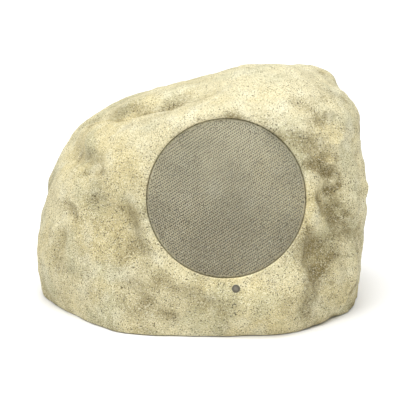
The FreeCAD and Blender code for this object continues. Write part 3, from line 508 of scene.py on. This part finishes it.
def rock_outer():
    """The closed outer skin, with finer triangles in front and finest at the grille's rim."""
    toward_camera = direction(-90, CAMERA_RISE)

    def seen(rays):
        return (rays @ toward_camera > 0.12) & (face_distance(rays) > POCKET_RADIUS - 4)

    def rim(rays):
        return np.abs(face_distance(rays) - POCKET_RADIUS - 1) < 3.2

    level = 7
    rays, faces = round_mesh(level, (seen, rim))
    points = roughened(reach_skin(ROCK_CENTRE, rays), rays)
    return make_mesh("rock", points, faces)


def footprint(inset):
    """Outline of the rock at its rim, drawn in by `inset`."""
    start = np.array((ROCK_CENTRE[0], ROCK_CENTRE[1], RIM_Z))
    rays = np.array([direction(360.0 * step / 96, 0) for step in range(96)])
    points = reach_skin(start, rays) - rays * inset
    return [(x, y) for x, y, _ in points]


def base_screw_places():
    """Where the screws of the base plate stand, evenly round the rim."""
    start = np.array((ROCK_CENTRE[0], ROCK_CENTRE[1], RIM_Z))
    rays = np.array([direction(360.0 * step / BASE_SCREWS, 0) for step in range(BASE_SCREWS)])
    return [(x, y) for x, y, _ in reach_skin(start, rays) - rays * SCREW_INSET]


def rock_cavity():
    """The hollow inside the rock, less the baffle, the panel's pad, the ledge and the screw bosses."""
    rays, faces = round_mesh(6, ())
    cavity = make_mesh("cavity", reach_skin(ROCK_CENTRE, rays, CAVITY_WALL), faces)
    combine(cavity, rod("baffle", BAFFLE_RADIUS, BAFFLE_BACK, CLEAR, place=FACE, steps=96), "DIFFERENCE")
    combine(cavity, rod("light_boss", LIGHT_BOSS, BAFFLE_BACK, CLEAR, *LIGHT_PLACE, FACE), "DIFFERENCE")
    pad = prism("pad", rounded_outline(*PANEL_PAD), PANEL_PAD_BACK, 10, PANEL)
    combine(cavity, pad, "DIFFERENCE")
    ledge = prism("ledge", rounded_outline(WIDE, WIDE, 10), *LEDGE)
    combine(ledge, prism("inside", footprint(LEDGE_REACH), 0, 30), "DIFFERENCE")
    combine(cavity, ledge, "DIFFERENCE")
    for x, y in base_screw_places():
        combine(cavity, rod("boss", BOSS_RADIUS, LEDGE[0], BOSS_TOP, x, y), "DIFFERENCE")
    return cavity


def rock_openings():
    """Pockets for the grille, driver and control panel, the holes, and everything below the rim."""
    behind = BAFFLE_BACK - 5
    profile = [(0, CLEAR), (POCKET_RADIUS, CLEAR), (POCKET_RADIUS, GRILLE_SEAT),
               (DRIVER_POCKET_RADIUS, GRILLE_SEAT), (DRIVER_POCKET_RADIUS, DRIVER_SEAT),
               (DRIVER_HOLE_RADIUS, DRIVER_SEAT), (DRIVER_HOLE_RADIUS, behind), (0, behind)]
    openings = lathe("openings", profile, FACE, 256, False)
    cutters = [rod("light_hole", LIGHT_HOLE, behind, CLEAR, *LIGHT_PLACE, place=FACE)]
    for index in range(DRIVER_SCREWS):
        turn = math.radians(45 + 360 / DRIVER_SCREWS * index)
        x = DRIVER_SCREW_CIRCLE * math.cos(turn)
        y = DRIVER_SCREW_CIRCLE * math.sin(turn)
        hole = rod("screw_hole", DRIVER_SCREW_HOLE, BAFFLE_BACK + 1, DRIVER_SEAT + 1, x, y, FACE, 16)
        cutters.append(hole)
    width, depth = PANEL_SIZE
    pocket = rounded_outline(width + 2 * PANEL_GAP, depth + 2 * PANEL_GAP, PANEL_CORNER + PANEL_GAP)
    cutters.append(prism("panel_pocket", pocket, PANEL_POCKET, 15, PANEL))
    window = rounded_outline(*PANEL_WINDOW)
    cutters.append(prism("panel_window", window, PANEL_PAD_BACK - 8, 0, PANEL))
    for x, y in PANEL_SCREWS:
        cutters.append(rod("screw_hole", PANEL_SCREW_HOLE, PANEL_PAD_BACK + 0.8, 0, x, y, PANEL, 16))
    cutters.append(prism("below_rim", rounded_outline(WIDE, WIDE, 10), -60, SKIRT_Z))
    for x, y in base_screw_places():
        cutters.append(rod("screw_hole", BASE_SCREW_HOLE, 0, BOSS_TOP - 2, x, y, steps=16))
    for cutter in cutters:
        combine(openings, cutter, "UNION")
    return openings


def stain_and_shade(points):
    """Grime and painted shade on the rock: most in its hollows, pits and crevices, some darkening low
    down, on the left and right; the pocket behind the grille is marked for near-black painted shade.
    """
    dirt_and_shade = np.zeros(len(points))
    for _, start, end, radius, _, dirt_and_shade_share in SPOTS:
        if dirt_and_shade_share:
            dirt_and_shade = np.maximum(dirt_and_shade, dirt_and_shade_share * nearness(points, start, end, radius * 1.4))
    right = eased((points[:, 0] - 72) / 30) * eased((points[:, 2] - 20) / 30)
    right *= 1 - eased((points[:, 2] - 150) / 40)
    low = 1 - eased((points[:, 2] - 20) / 90)
    broad, middle, small, fine = (value_noise(points, size) for size, _ in ROUGHNESS)
    # Painted shade with grime: darker where the noise sinks the skin, so that its relief reads.
    hollow = -0.9 * broad - 0.8 * middle - 0.5 * small
    dirt_and_shade += 0.2 * np.clip(hollow, 0, 1) * ruggedness(points)
    # Painted shade with grime in the small pits right of the grille.
    pits = -small - 0.7 * fine
    dirt_and_shade += 0.3 * np.clip(pits, 0, 1) * eased((points[:, 0] - 66) / 30)
    left = 1 - eased((points[:, 0] + 60) / 90)
    dirt_and_shade = np.clip(dirt_and_shade + 0.02 * right + 0.13 * low + 0.08 * left, 0, 1)
    # Painted shade: the pocket behind the grille is marked to be painted near-black, as shade seen
    # through the holes.
    at = local(points, FACE)
    in_pocket = (np.hypot(at[:, 0], at[:, 1]) < POCKET_RADIUS - 0.3) & (np.abs(at[:, 2] + 20) < 15)
    return np.where(in_pocket, POCKET_SHADE_MARK, dirt_and_shade)


def store(obj, name, values):
    """Keeps one number for each vertex, for the materials to read."""
    layer = obj.data.attributes.new(name, "FLOAT", "POINT")
    layer.data.foreach_set("value", np.asarray(values, np.float32))


def build_rock():
    """The hollow rock with its openings, its stain and its painted shade."""
    rock = rock_outer()
    openings = combine(rock_openings(), rock_cavity(), "UNION")
    combine(rock, openings, "DIFFERENCE")
    store(rock, "stain_and_shade", stain_and_shade(vertices(rock)))
    smooth(rock, 50)
    return rock


# ------------------------------------------------------------------ the grille
HOLE_STEP = 1.75                            # from hole to hole along a row
ROW_STEP = 2.2
ROW_ANGLE = 33.0
HOLE_HALF = (0.62, 0.66)                    # half a hole's length along its row, and across it
BORDER = 1.0                                # plain metal round the holes
ROLL = 0.8                                  # radius of the grille's rolled edge
SHEET = 1.0                                 # thickness of the grille's metal
GRILLE_RIM = POCKET_RADIUS - 0.4
GRILLE_FOOT = GRILLE_SEAT + 1.0             # the gasket lifts the grille off its seat
FOOT_INNER = 59.5


def dome_height(off_axis):
    """Height of the grille's outer face."""
    sphere = (GRILLE_RIM ** 2 + GRILLE_DOME ** 2) / (2 * GRILLE_DOME)
    rise = np.sqrt(sphere ** 2 - np.minimum(off_axis, GRILLE_RIM) ** 2)
    return GRILLE_EDGE + rise - (sphere - GRILLE_DOME)


def perforated_sheet():
    """The domed sheet: staggered rows of six-sided holes, each ring of metal sharing its corners."""
    edge = GRILLE_RIM - ROLL
    turn = math.radians(ROW_ANGLE)
    along = np.array((math.cos(turn), math.sin(turn)))
    across = np.array((-math.sin(turn), math.cos(turn)))
    corner_steps = ((1, 1), (0, 1), (-1, 1), (-1, -1), (0, -1), (1, -1))
    hole_shape = ((0.62, 0.78), (0, 1), (-0.62, 0.78), (-0.62, -0.78), (0, -1), (0.62, -0.78))
    points = []
    faces = []
    shared = {}

    def corner(column, row):
        """Index of a lattice corner, drawn in to the edge if it lies beyond it."""
        if (column, row) not in shared:
            at = along * column * HOLE_STEP / 2 + across * row * ROW_STEP / 2
            distance = np.linalg.norm(at)
            at = at * min(1.0, edge / max(distance, 1e-6))
            shared[column, row] = len(points)
            points.append(at)
        return shared[column, row]

    rows = int(edge / ROW_STEP) + 2
    columns = int(edge / HOLE_STEP) + 2
    for row in range(-rows, rows + 1):
        for column in range(-columns, columns + 1):
            middle_column = 2 * column + row % 2
            middle = along * middle_column * HOLE_STEP / 2 + across * row * ROW_STEP
            places = [(middle_column + dx, 2 * row + dy) for dx, dy in corner_steps]
            reach = [np.hypot(c * HOLE_STEP / 2, r * ROW_STEP / 2) for c, r in places]
            if min(reach) >= edge - 0.05:
                continue
            ring = [corner(*place) for place in places]
            if np.linalg.norm(middle) > edge - BORDER:
                faces.append(ring)
                continue
            hole = []
            for dx, dy in hole_shape:
                hole.append(len(points))
                points.append(middle + along * dx * HOLE_HALF[0] + across * dy * HOLE_HALF[1])
            for index in range(6):
                after = (index + 1) % 6
                faces.append((ring[index], ring[after], hole[after], hole[index]))
    flat = np.array(points)
    height = dome_height(np.hypot(flat[:, 0], flat[:, 1]))
    sheet = make_mesh("grille_sheet", np.column_stack((flat, height)), faces, FACE)
    thicken = sheet.modifiers.new("thicken", "SOLIDIFY")
    thicken.thickness = SHEET * MM
    thicken.offset = -1.0
    bake_modifiers(sheet)
    return sheet


def grille_ring():
    """Rolled edge and skirt that carry the sheet."""
    rim = GRILLE_RIM
    foot = GRILLE_FOOT
    top = float(dome_height(rim - ROLL)) + 0.02
    profile = []
    for step in range(7):
        turn = math.pi / 2 * step / 6
        profile.append((rim - ROLL + ROLL * math.sin(turn), top - ROLL + ROLL * math.cos(turn)))
    lap = rim - ROLL - 0.6
    profile += [(rim, foot), (rim - SHEET, foot), (rim - SHEET, top - 1.2), (lap, top - 0.9), (lap, top)]
    return lathe("grille_ring", profile, FACE, 192)


def build_grille_foot():
    """Flat ring behind the sheet, which stands on the gasket; painted near-black as the shade behind the
    sheet.
    """
    outer = GRILLE_RIM - SHEET
    top = GRILLE_FOOT + SHEET
    profile = [(FOOT_INNER, GRILLE_FOOT), (outer, GRILLE_FOOT), (outer, top), (FOOT_INNER, top)]
    return smooth(lathe("grille_foot", profile, FACE))


def join(main, *others):
    """Moves the meshes of the others into the first object."""
    shape = bmesh.new()
    for obj in (main,) + others:
        shape.from_mesh(obj.data)
    shape.to_mesh(main.data)
    shape.free()
    for obj in others:
        bpy.data.objects.remove(obj)
    return main


def build_grille():
    """The sheet and its rolled edge as one piece."""
    grille = join(perforated_sheet(), grille_ring())
    face_outward(grille)
    return smooth(grille, 35)


# ------------------------------------------------------------------ materials
class Paint:
    """A material under construction: short names for the nodes it needs."""

    def __init__(self, name, roughness=0.6, metallic=0.0, specular=0.5):
        self.material = bpy.data.materials.new(name)
        self.material.use_nodes = True
        self.tree = self.material.node_tree
        self.shader = self.tree.nodes["Principled BSDF"]
        self.shader.inputs["Roughness"].default_value = roughness
        self.shader.inputs["Metallic"].default_value = metallic
        self.shader.inputs["Specular IOR Level"].default_value = specular
        self.place = self.tree.nodes.new("ShaderNodeTexCoord").outputs["Object"]

    def link(self, source, target):
        """Feeds a socket from a number, a colour or another node."""
        if isinstance(source, (int, float)):
            target.default_value = source
        elif isinstance(source, tuple):
            target.default_value = source + (1.0,)
        else:
            self.tree.links.new(source, target)

    def noise(self, size, detail=2.0, rough=0.5):
        """Noise in 0..1 with lumps `size` millimetres across."""
        node = self.tree.nodes.new("ShaderNodeTexNoise")
        node.inputs["Scale"].default_value = 1.0 / (size * MM)
        node.inputs["Detail"].default_value = detail
        node.inputs["Roughness"].default_value = rough
        self.tree.links.new(self.place, node.inputs["Vector"])
        return node.outputs["Fac"]

    def height(self):
        """Height above the ground, in metres."""
        node = self.tree.nodes.new("ShaderNodeSeparateXYZ")
        self.tree.links.new(self.place, node.inputs["Vector"])
        return node.outputs["Z"]

    def stored(self, name):
        """The number that store() kept for each vertex."""
        node = self.tree.nodes.new("ShaderNodeAttribute")
        node.attribute_name = name
        return node.outputs["Fac"]

    def fade(self, value, low, high, to_low=0.0, to_high=1.0):
        """Maps low..high to to_low..to_high, smoothly and without going beyond."""
        node = self.tree.nodes.new("ShaderNodeMapRange")
        node.interpolation_type = "SMOOTHSTEP"
        self.tree.links.new(value, node.inputs["Value"])
        node.inputs["From Min"].default_value = low
        node.inputs["From Max"].default_value = high
        node.inputs["To Min"].default_value = to_low
        node.inputs["To Max"].default_value = to_high
        return node.outputs["Result"]

    def math(self, operation, first, second):
        """One sum or product of two values."""
        node = self.tree.nodes.new("ShaderNodeMath")
        node.operation = operation
        self.link(first, node.inputs[0])
        self.link(second, node.inputs[1])
        return node.outputs[0]

    def mix(self, share, first, second):
        """Colour that goes from the first to the second as the share rises."""
        node = self.tree.nodes.new("ShaderNodeMix")
        node.data_type = "RGBA"
        self.link(share, node.inputs["Factor"])
        self.link(first, node.inputs["A"])
        self.link(second, node.inputs["B"])
        return node.outputs["Result"]

    def bump(self, height, depth, below=None):
        """Bumps `depth` millimetres high from a value in 0..1, over those below."""
        node = self.tree.nodes.new("ShaderNodeBump")
        node.inputs["Strength"].default_value = 1.0
        node.inputs["Distance"].default_value = depth * MM
        self.tree.links.new(height, node.inputs["Height"])
        if below is not None:
            self.tree.links.new(below, node.inputs["Normal"])
        return node.outputs["Normal"]

    def finish(self, colour, roughness, normal):
        """The finished material."""
        self.link(colour, self.shader.inputs["Base Color"])
        self.link(roughness, self.shader.inputs["Roughness"])
        self.link(normal, self.shader.inputs["Normal"])
        return self.material


# Colours are linear, as the shader takes them.
CREAM = (0.74, 0.67, 0.42)
OCHRE = (0.70, 0.60, 0.31)
LICHEN = (0.53, 0.52, 0.34)
# Tone of grime, and of the painted shade laid in hollows, pits and crevices.
DIRT_AND_SHADE_TONE = (0.21, 0.16, 0.055)
# Pale patches and specks, and the painted highlight on the rock's top.
PALE_AND_HIGHLIGHT = (0.90, 0.87, 0.66)
SPECK = (0.07, 0.055, 0.025)
GREY_PAINT = (0.36, 0.35, 0.28)
# Near-black painted shade for the pocket behind the grille.
POCKET_SHADE_TONE = (0.02, 0.02, 0.018)


def stone_colour(paint, dirt_and_shade):
    """The rock's paint: patches of several tones, a painted highlight on the top, dirt and painted shade
    where it gathers, and dense fine specks.
    """
    colour = paint.mix(paint.fade(paint.noise(52, 2.0), 0.43, 0.66, 0.0, 0.65), CREAM, OCHRE)
    colour = paint.mix(paint.fade(paint.noise(34, 2.0), 0.46, 0.68, 0.0, 0.55), colour, LICHEN)
    colour = paint.mix(paint.fade(paint.noise(21, 3.0), 0.50, 0.72, 0.0, 0.45), colour, PALE_AND_HIGHLIGHT)
    # Painted highlight: the top of the rock, from 150 mm up, is painted paler, as the light from above
    # falls on it.
    colour = paint.mix(paint.fade(paint.height(), 150 * MM, 200 * MM, 0.0, 0.2), colour, PALE_AND_HIGHLIGHT)
    # Grime and painted shade, darkening towards the dark tone.
    colour = paint.mix(paint.math("MULTIPLY", dirt_and_shade, 0.85), colour, DIRT_AND_SHADE_TONE)
    grain = paint.fade(paint.noise(1.0, 3.0, 0.7), 0.34, 0.66, 0.30, 0.0)
    colour = paint.mix(grain, colour, DIRT_AND_SHADE_TONE)
    crowding = paint.fade(paint.noise(7, 2.0), 0.3, 0.7, 0.03, -0.02)
    crowding = paint.math("SUBTRACT", crowding, paint.math("MULTIPLY", dirt_and_shade, 0.04))
    for size, limit, depth in ((0.75, 0.64, 0.8), (1.2, 0.70, 0.9)):
        over = paint.math("SUBTRACT", paint.noise(size, 0.0), paint.math("ADD", crowding, limit))
        colour = paint.mix(paint.fade(over, 0.0, 0.05, 0.0, depth), colour, SPECK)
    light_speck = paint.fade(paint.noise(1.0, 0.0), 0.60, 0.70, 0.0, 0.4)
    return paint.mix(light_speck, colour, PALE_AND_HIGHLIGHT)


def rock_paint():
    """Speckled paint on the rock, with near-black painted shade in the pocket behind the grille."""
    paint = Paint("rock_paint", roughness=0.85, specular=0.25)
    blur = paint.fade(paint.noise(16, 3.0), 0.3, 0.7, -0.15, 0.2)
    dirt_and_shade = paint.fade(paint.math("ADD", paint.stored("stain_and_shade"), blur), 0.0, 1.0)
    colour = stone_colour(paint, dirt_and_shade)
    # Near-black painted shade in the pocket behind the grille.
    pocket_shade = paint.fade(paint.stored("stain_and_shade"), 1.5, 2.5)
    colour = paint.mix(pocket_shade, colour, POCKET_SHADE_TONE)
    normal = paint.bump(paint.noise(4.5, 3.0, 0.6), 0.6)
    normal = paint.bump(paint.noise(1.5, 2.0, 0.6), 0.2, below=normal)
    roughness = paint.fade(paint.noise(3.0, 2.0), 0.3, 0.7, 0.72, 0.92)
    return paint.finish(colour, roughness, normal)


def grille_paint():
    """The rock's paint, greyer, on the grille, with painted shade that deepens lower down and patches of
    painted sheen.
    """
    paint = Paint("grille_paint", roughness=0.7, specular=0.3)
    # Painted shade and sheen: darker towards the bottom, and mottled with broad patches of painted sheen
    # and shade.
    rise = paint.fade(paint.height(), 50 * MM, 178 * MM, 1.05, 0.2)
    dirt_and_shade = paint.math("ADD", rise, paint.fade(paint.noise(34, 3.0), 0.3, 0.7, -0.22, 0.22))
    colour = paint.mix(0.5, stone_colour(paint, dirt_and_shade), GREY_PAINT)
    spots = paint.fade(paint.noise(1.1, 0.0), 0.66, 0.72, 0.0, 0.75)
    colour = paint.mix(spots, colour, SPECK)
    normal = paint.bump(paint.noise(1.2, 2.0, 0.6), 0.12)
    return paint.finish(colour, 0.7, normal)


def plain_finish(name, first, second, size, roughness, metallic=0.0, depth=0.05, specular=0.5):
    """Two close tones in patches, with roughness and fine bumps to match."""
    paint = Paint(name, roughness, metallic, specular)
    patch = paint.noise(size, 3.0, 0.6)
    colour = paint.mix(paint.fade(patch, 0.3, 0.7), first, second)
    shine = paint.fade(paint.noise(size * 0.6, 2.0), 0.3, 0.7, roughness - 0.07, roughness + 0.07)
    normal = paint.bump(paint.noise(size * 0.25, 2.0, 0.6), depth)
    return paint.finish(colour, shine, normal)


# Each slot's two close tones, size of its patches, roughness, metallic, depth of its bumps.
FINISHES = {
    "foam": ((0.010, 0.010, 0.010), (0.020, 0.020, 0.020), 1.2, 0.95, 0.0, 0.30),
    "black_rubber": ((0.012, 0.012, 0.012), (0.022, 0.021, 0.020), 4.0, 0.75, 0.0, 0.08),
    "roll_rubber": ((0.010, 0.010, 0.011), (0.016, 0.016, 0.017), 5.0, 0.45, 0.0, 0.03),
    "basket_steel": ((0.014, 0.014, 0.015), (0.021, 0.021, 0.022), 6.0, 0.38, 0.0, 0.04),
    "zinc_steel": ((0.50, 0.51, 0.53), (0.60, 0.59, 0.56), 2.5, 0.34, 0.9, 0.02),
    "motor_steel": ((0.42, 0.42, 0.41), (0.52, 0.51, 0.48), 5.0, 0.36, 0.9, 0.02),
    "ferrite": ((0.030, 0.030, 0.032), (0.045, 0.044, 0.044), 3.0, 0.70, 0.0, 0.10),
    "cone_paper": ((0.016, 0.016, 0.017), (0.028, 0.027, 0.026), 2.0, 0.88, 0.0, 0.12),
    "spider_cloth": ((0.50, 0.34, 0.11), (0.60, 0.42, 0.15), 1.0, 0.90, 0.0, 0.15),
    "former_film": ((0.50, 0.27, 0.06), (0.56, 0.32, 0.08), 6.0, 0.28, 0.0, 0.01),
    "copper": ((0.58, 0.17, 0.06), (0.66, 0.22, 0.09), 0.6, 0.32, 0.9, 0.06),
    "brass": ((0.62, 0.46, 0.15), (0.70, 0.54, 0.22), 3.0, 0.34, 0.9, 0.02),
    "fibreboard": ((0.16, 0.075, 0.025), (0.22, 0.11, 0.04), 1.5, 0.72, 0.0, 0.06),
    "smoked_lens": ((0.17, 0.155, 0.115), (0.21, 0.19, 0.145), 3.0, 0.30, 0.0, 0.02),
    "circuit_board": ((0.006, 0.065, 0.022), (0.012, 0.095, 0.035), 5.0, 0.36, 0.0, 0.03),
    "panel_plastic": ((0.012, 0.012, 0.012), (0.019, 0.019, 0.019), 1.0, 0.62, 0.0, 0.10),
    "base_plastic": ((0.014, 0.014, 0.014), (0.024, 0.023, 0.022), 3.0, 0.60, 0.0, 0.10),
    "tray_plastic": ((0.66, 0.65, 0.58), (0.72, 0.71, 0.65), 9.0, 0.55, 0.0, 0.05),
    "key_rubber": ((0.018, 0.018, 0.018), (0.028, 0.028, 0.028), 2.0, 0.72, 0.0, 0.05),
    "cell_wrap": ((0.014, 0.060, 0.24), (0.022, 0.080, 0.30), 12.0, 0.26, 0.0, 0.02),
    "chip_black": ((0.008, 0.008, 0.008), (0.014, 0.014, 0.014), 1.5, 0.52, 0.0, 0.04),
    "can_sleeve": ((0.006, 0.006, 0.020), (0.010, 0.010, 0.030), 6.0, 0.26, 0.0, 0.01),
    "heat_sink_aluminium": ((0.050, 0.050, 0.053), (0.070, 0.070, 0.072), 4.0, 0.42, 0.6, 0.03),
    "socket_shell": ((0.60, 0.60, 0.60), (0.70, 0.69, 0.66), 3.0, 0.24, 0.95, 0.02),
    "socket_plastic": ((0.68, 0.64, 0.52), (0.75, 0.72, 0.62), 4.0, 0.50, 0.0, 0.03),
    "lead_insulation": ((0.012, 0.012, 0.012), (0.020, 0.020, 0.020), 6.0, 0.50, 0.0, 0.02),
    # Near-black painted shade: this finish also darkens the grille's foot ring behind the holes.
    "grille_steel": ((0.020, 0.020, 0.018), (0.032, 0.031, 0.027), 4.0, 0.70, 0.0, 0.04),
}
GREY_RUBBER = ((0.12, 0.11, 0.08), (0.15, 0.135, 0.10), 3.0, 0.7, 0.0, 0.05)


# ------------------------------------------------------------------ softer parts, keys and symbols
# the straight blend of a sector is close to a radial one
SECTORS = 12                                # pieces that each ring is made of
SECTOR_STEPS = 8
FLANGE_FRONT = DRIVER_SEAT + 2.5
ROLL_PLACE = (44.0, 2.7, 3.3)               # radius of the surround's half-roll, and its own two radii
SURROUND_EDGES = (40.1, 50.5)               # where its flats begin and end
SURROUND_SHEET = 0.6
SPIDER_SHELF = FLANGE_FRONT - 22.5
SPIDER_REACH = (12.8, 30.5, 36.0)           # former, end of the waves, end of the glued rim
SPIDER_WAVES = 4
WAVE_HEIGHT = 0.8
SPIDER_CLOTH = 0.3                          # thickness


def surround_profile():
    """Half-roll with a flat on each side, (radius, height)."""
    middle, inner, outer = ROLL_PLACE
    base = FLANGE_FRONT + 0.05
    top = base + SURROUND_SHEET
    lean = math.asin(SURROUND_SHEET / outer)
    begin, end = SURROUND_EDGES
    under = [math.pi * step / 16 for step in range(17)]
    over = [math.pi - lean - (math.pi - 2 * lean) * step / 16 for step in range(17)]
    profile = [(end, base)]
    profile += [(middle + inner * math.cos(turn), base + inner * math.sin(turn)) for turn in under]
    profile += [(begin, base), (begin, top)]
    profile += [(middle + outer * math.cos(turn), base + outer * math.sin(turn)) for turn in over]
    return profile + [(end, top)]


def spider_profile():
    """Corrugated cloth with a flat glued rim, (radius, height)."""
    inner, end, rim = SPIDER_REACH
    middle = SPIDER_SHELF + 0.35
    upper = []
    for step in range(12 * SPIDER_WAVES + 1):
        share = step / (12 * SPIDER_WAVES)
        wave = WAVE_HEIGHT * math.sin(share * 2 * math.pi * SPIDER_WAVES)
        upper.append((inner + (end - inner) * share, middle + wave))
    upper.append((rim, middle))
    return upper + [(radius, height - SPIDER_CLOTH) for radius, height in reversed(upper)]


def flexing_ring(node, profile, material):
    """A ring in sectors, from the enclosure at its outer edge to the cone at its inner one."""
    width = 360 / SECTORS
    for index in range(SECTORS):
        turn = index * width
        sides = (turn - width / 2, turn + width / 2)
        piece = sector(f"{node}_{index + 1}", profile, FACE, *sides, SECTOR_STEPS)
        smooth(piece, 60)
        dress(piece, material)
        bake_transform(piece)
        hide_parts(node)


SYMBOL_RISE = 0.25                          # height over the key's face
SYMBOL_LINE = 0.9
SYMBOL_ROOT = 0.1                           # depth that a sign is sunk into its key
POWER_GAP = 38.0                            # degrees on each side of the power sign's bar


def bar(name, width, depth, x, y=0.0):
    """Low bar on a key's face, with round corners."""
    corner = min(width, depth) / 2.2
    outline = [(x + dx, y + dy) for dx, dy in rounded_outline(width, depth, corner, 4)]
    return prism(name, outline, KEY_FACE - SYMBOL_ROOT, KEY_FACE + SYMBOL_RISE, PANEL)


def ring(name, radius, x, start=0.0, end=360.0):
    """Low ring on a key's face, or a part of one between two angles."""
    half = SYMBOL_LINE / 2
    low = KEY_FACE - SYMBOL_ROOT
    high = KEY_FACE + SYMBOL_RISE
    shift = np.eye(4)
    shift[0, 3] = x
    profile = [(radius - half, low), (radius + half, low), (radius + half, high), (radius - half, high)]
    if end - start == 360.0:
        return lathe(name, profile, PANEL @ shift, 32)
    return sector(name, profile, PANEL @ shift, start, end, 32)


def key_symbols():
    """Plain raised signs: a power sign, two linked rings, a minus and a plus."""
    places = dict(KEY_PLACES)
    arc = ring("power_symbol", 2.5, places["power"], 90 + POWER_GAP, 450 - POWER_GAP)
    power = join(arc, bar("power_bar", SYMBOL_LINE, 2.9, places["power"], 1.7))
    left, right = (places["pair"] + shift for shift in (-1.25, 1.25))
    pair = join(ring("pair_symbol", 1.7, left), ring("pair_ring", 1.7, right))
    minus = bar("minus_symbol", 5.2, SYMBOL_LINE + 0.2, places["volume_down"])
    plus = combine(bar("plus_symbol", 5.2, SYMBOL_LINE + 0.2, places["volume_up"]),
                   bar("plus_upright", SYMBOL_LINE + 0.2, 5.2, places["volume_up"]), "UNION")
    return {"power_key": power, "pair_key": pair, "volume_down_key": minus, "volume_up_key": plus}


# ------------------------------------------------------------------ assembling the scene
def dress(obj, material):
    """Gives an object one material in place of any that it has."""
    obj.data.materials.clear()
    obj.data.materials.append(material)


def add_piece(obj, material, body, node=None):
    """Finishes a piece, hangs it on the body that it rides on, and hides the CAD node that it stands
    for.
    """
    dress(obj, material)
    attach(obj, body)
    if node:
        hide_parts(node)


def add_camera():
    """Looks from the front, a little from above."""
    camera = bpy.data.cameras.new("camera")
    camera.sensor_width = 36.0
    camera.lens = 36.0 * CAMERA_DISTANCE / CAMERA_WIDTH
    camera.clip_end = 50.0
    holder = bpy.data.objects.new("camera", camera)
    away = Vector(direction(-90, CAMERA_RISE))
    holder.location = CAMERA_AIM + away * CAMERA_DISTANCE
    holder.rotation_euler = (-away).to_track_quat("-Z", "Y").to_euler()
    bpy.context.scene.collection.objects.link(holder)
    bpy.context.scene.camera = holder


def add_sun(name, toward, spread, strength):
    """Soft light from one side of the sky, the same all over the floor."""
    light = bpy.data.lights.new(name, "SUN")
    light.angle = math.radians(spread)
    light.energy = strength
    holder = bpy.data.objects.new(name, light)
    holder.rotation_euler = Vector(toward).to_track_quat("Z", "Y").to_euler()
    bpy.context.scene.collection.objects.link(holder)


WORLD_LIGHT = 0.28                          # the sky's strength on the object; the camera sees it white
KEY_STRENGTH = 3.95
KEY_TOWARD = (-0.10, -0.24, 1.0)
KEY_SPREAD = 65.0                           # degrees of sky that the soft sun covers
FLOOR_HALF = 6000


def add_surroundings():
    """White floor and sky, one soft sun, and tones kept as they are."""
    world = bpy.data.worlds.new("studio")
    world.use_nodes = True
    tree = world.node_tree
    background = tree.nodes["Background"]
    path = tree.nodes.new("ShaderNodeLightPath")
    strength = tree.nodes.new("ShaderNodeMapRange")
    strength.inputs["To Min"].default_value = WORLD_LIGHT
    strength.inputs["To Max"].default_value = 1.0
    tree.links.new(path.outputs["Is Camera Ray"], strength.inputs["Value"])
    tree.links.new(strength.outputs["Result"], background.inputs["Strength"])
    background.inputs["Color"].default_value = (1, 1, 1, 1)
    bpy.context.scene.world = world
    bpy.context.scene.view_settings.view_transform = "Standard"
    add_sun("overhead", KEY_TOWARD, KEY_SPREAD, KEY_STRENGTH)
    half = FLOOR_HALF
    corners = [(-half, -half, 0), (half, -half, 0), (half, half, 0), (-half, half, 0)]
    floor = make_mesh("floor", corners, [(0, 1, 2, 3)])
    dress(floor, plain_finish("floor", (0.93, 0.93, 0.93), (0.91, 0.91, 0.91), 400, 0.9, specular=0.1))


def main():
    finishes = {name: plain_finish(name, *look) for name, look in FINISHES.items()}
    for part in frame["record"]["subparts"]:
        if part["material_slot"] in finishes:
            dress(frame["nodes"][part["node"]], finishes[part["material_slot"]])
    # Painted shade: the driver's screws take the black basket finish so that they read as shade through
    # the grille's holes.
    dress(frame["nodes"]["driver_screws"], finishes["basket_steel"])
    dress(frame["nodes"]["light_grommet"], plain_finish("grey_rubber", *GREY_RUBBER))
    add_piece(build_rock(), rock_paint(), "enclosure", "rock_shell")
    add_piece(build_grille(), grille_paint(), "enclosure", "grille")
    # The foot ring takes the near-black finish as painted shade behind the grille.
    add_piece(build_grille_foot(), finishes["grille_steel"], "enclosure", "grille")
    flexing_ring("surround", surround_profile(), finishes["roll_rubber"])
    flexing_ring("spider", spider_profile(), finishes["spider_cloth"])
    for body, symbol in key_symbols().items():
        add_piece(symbol, finishes["tray_plastic"], body)
    add_camera()
    add_surroundings()


main()
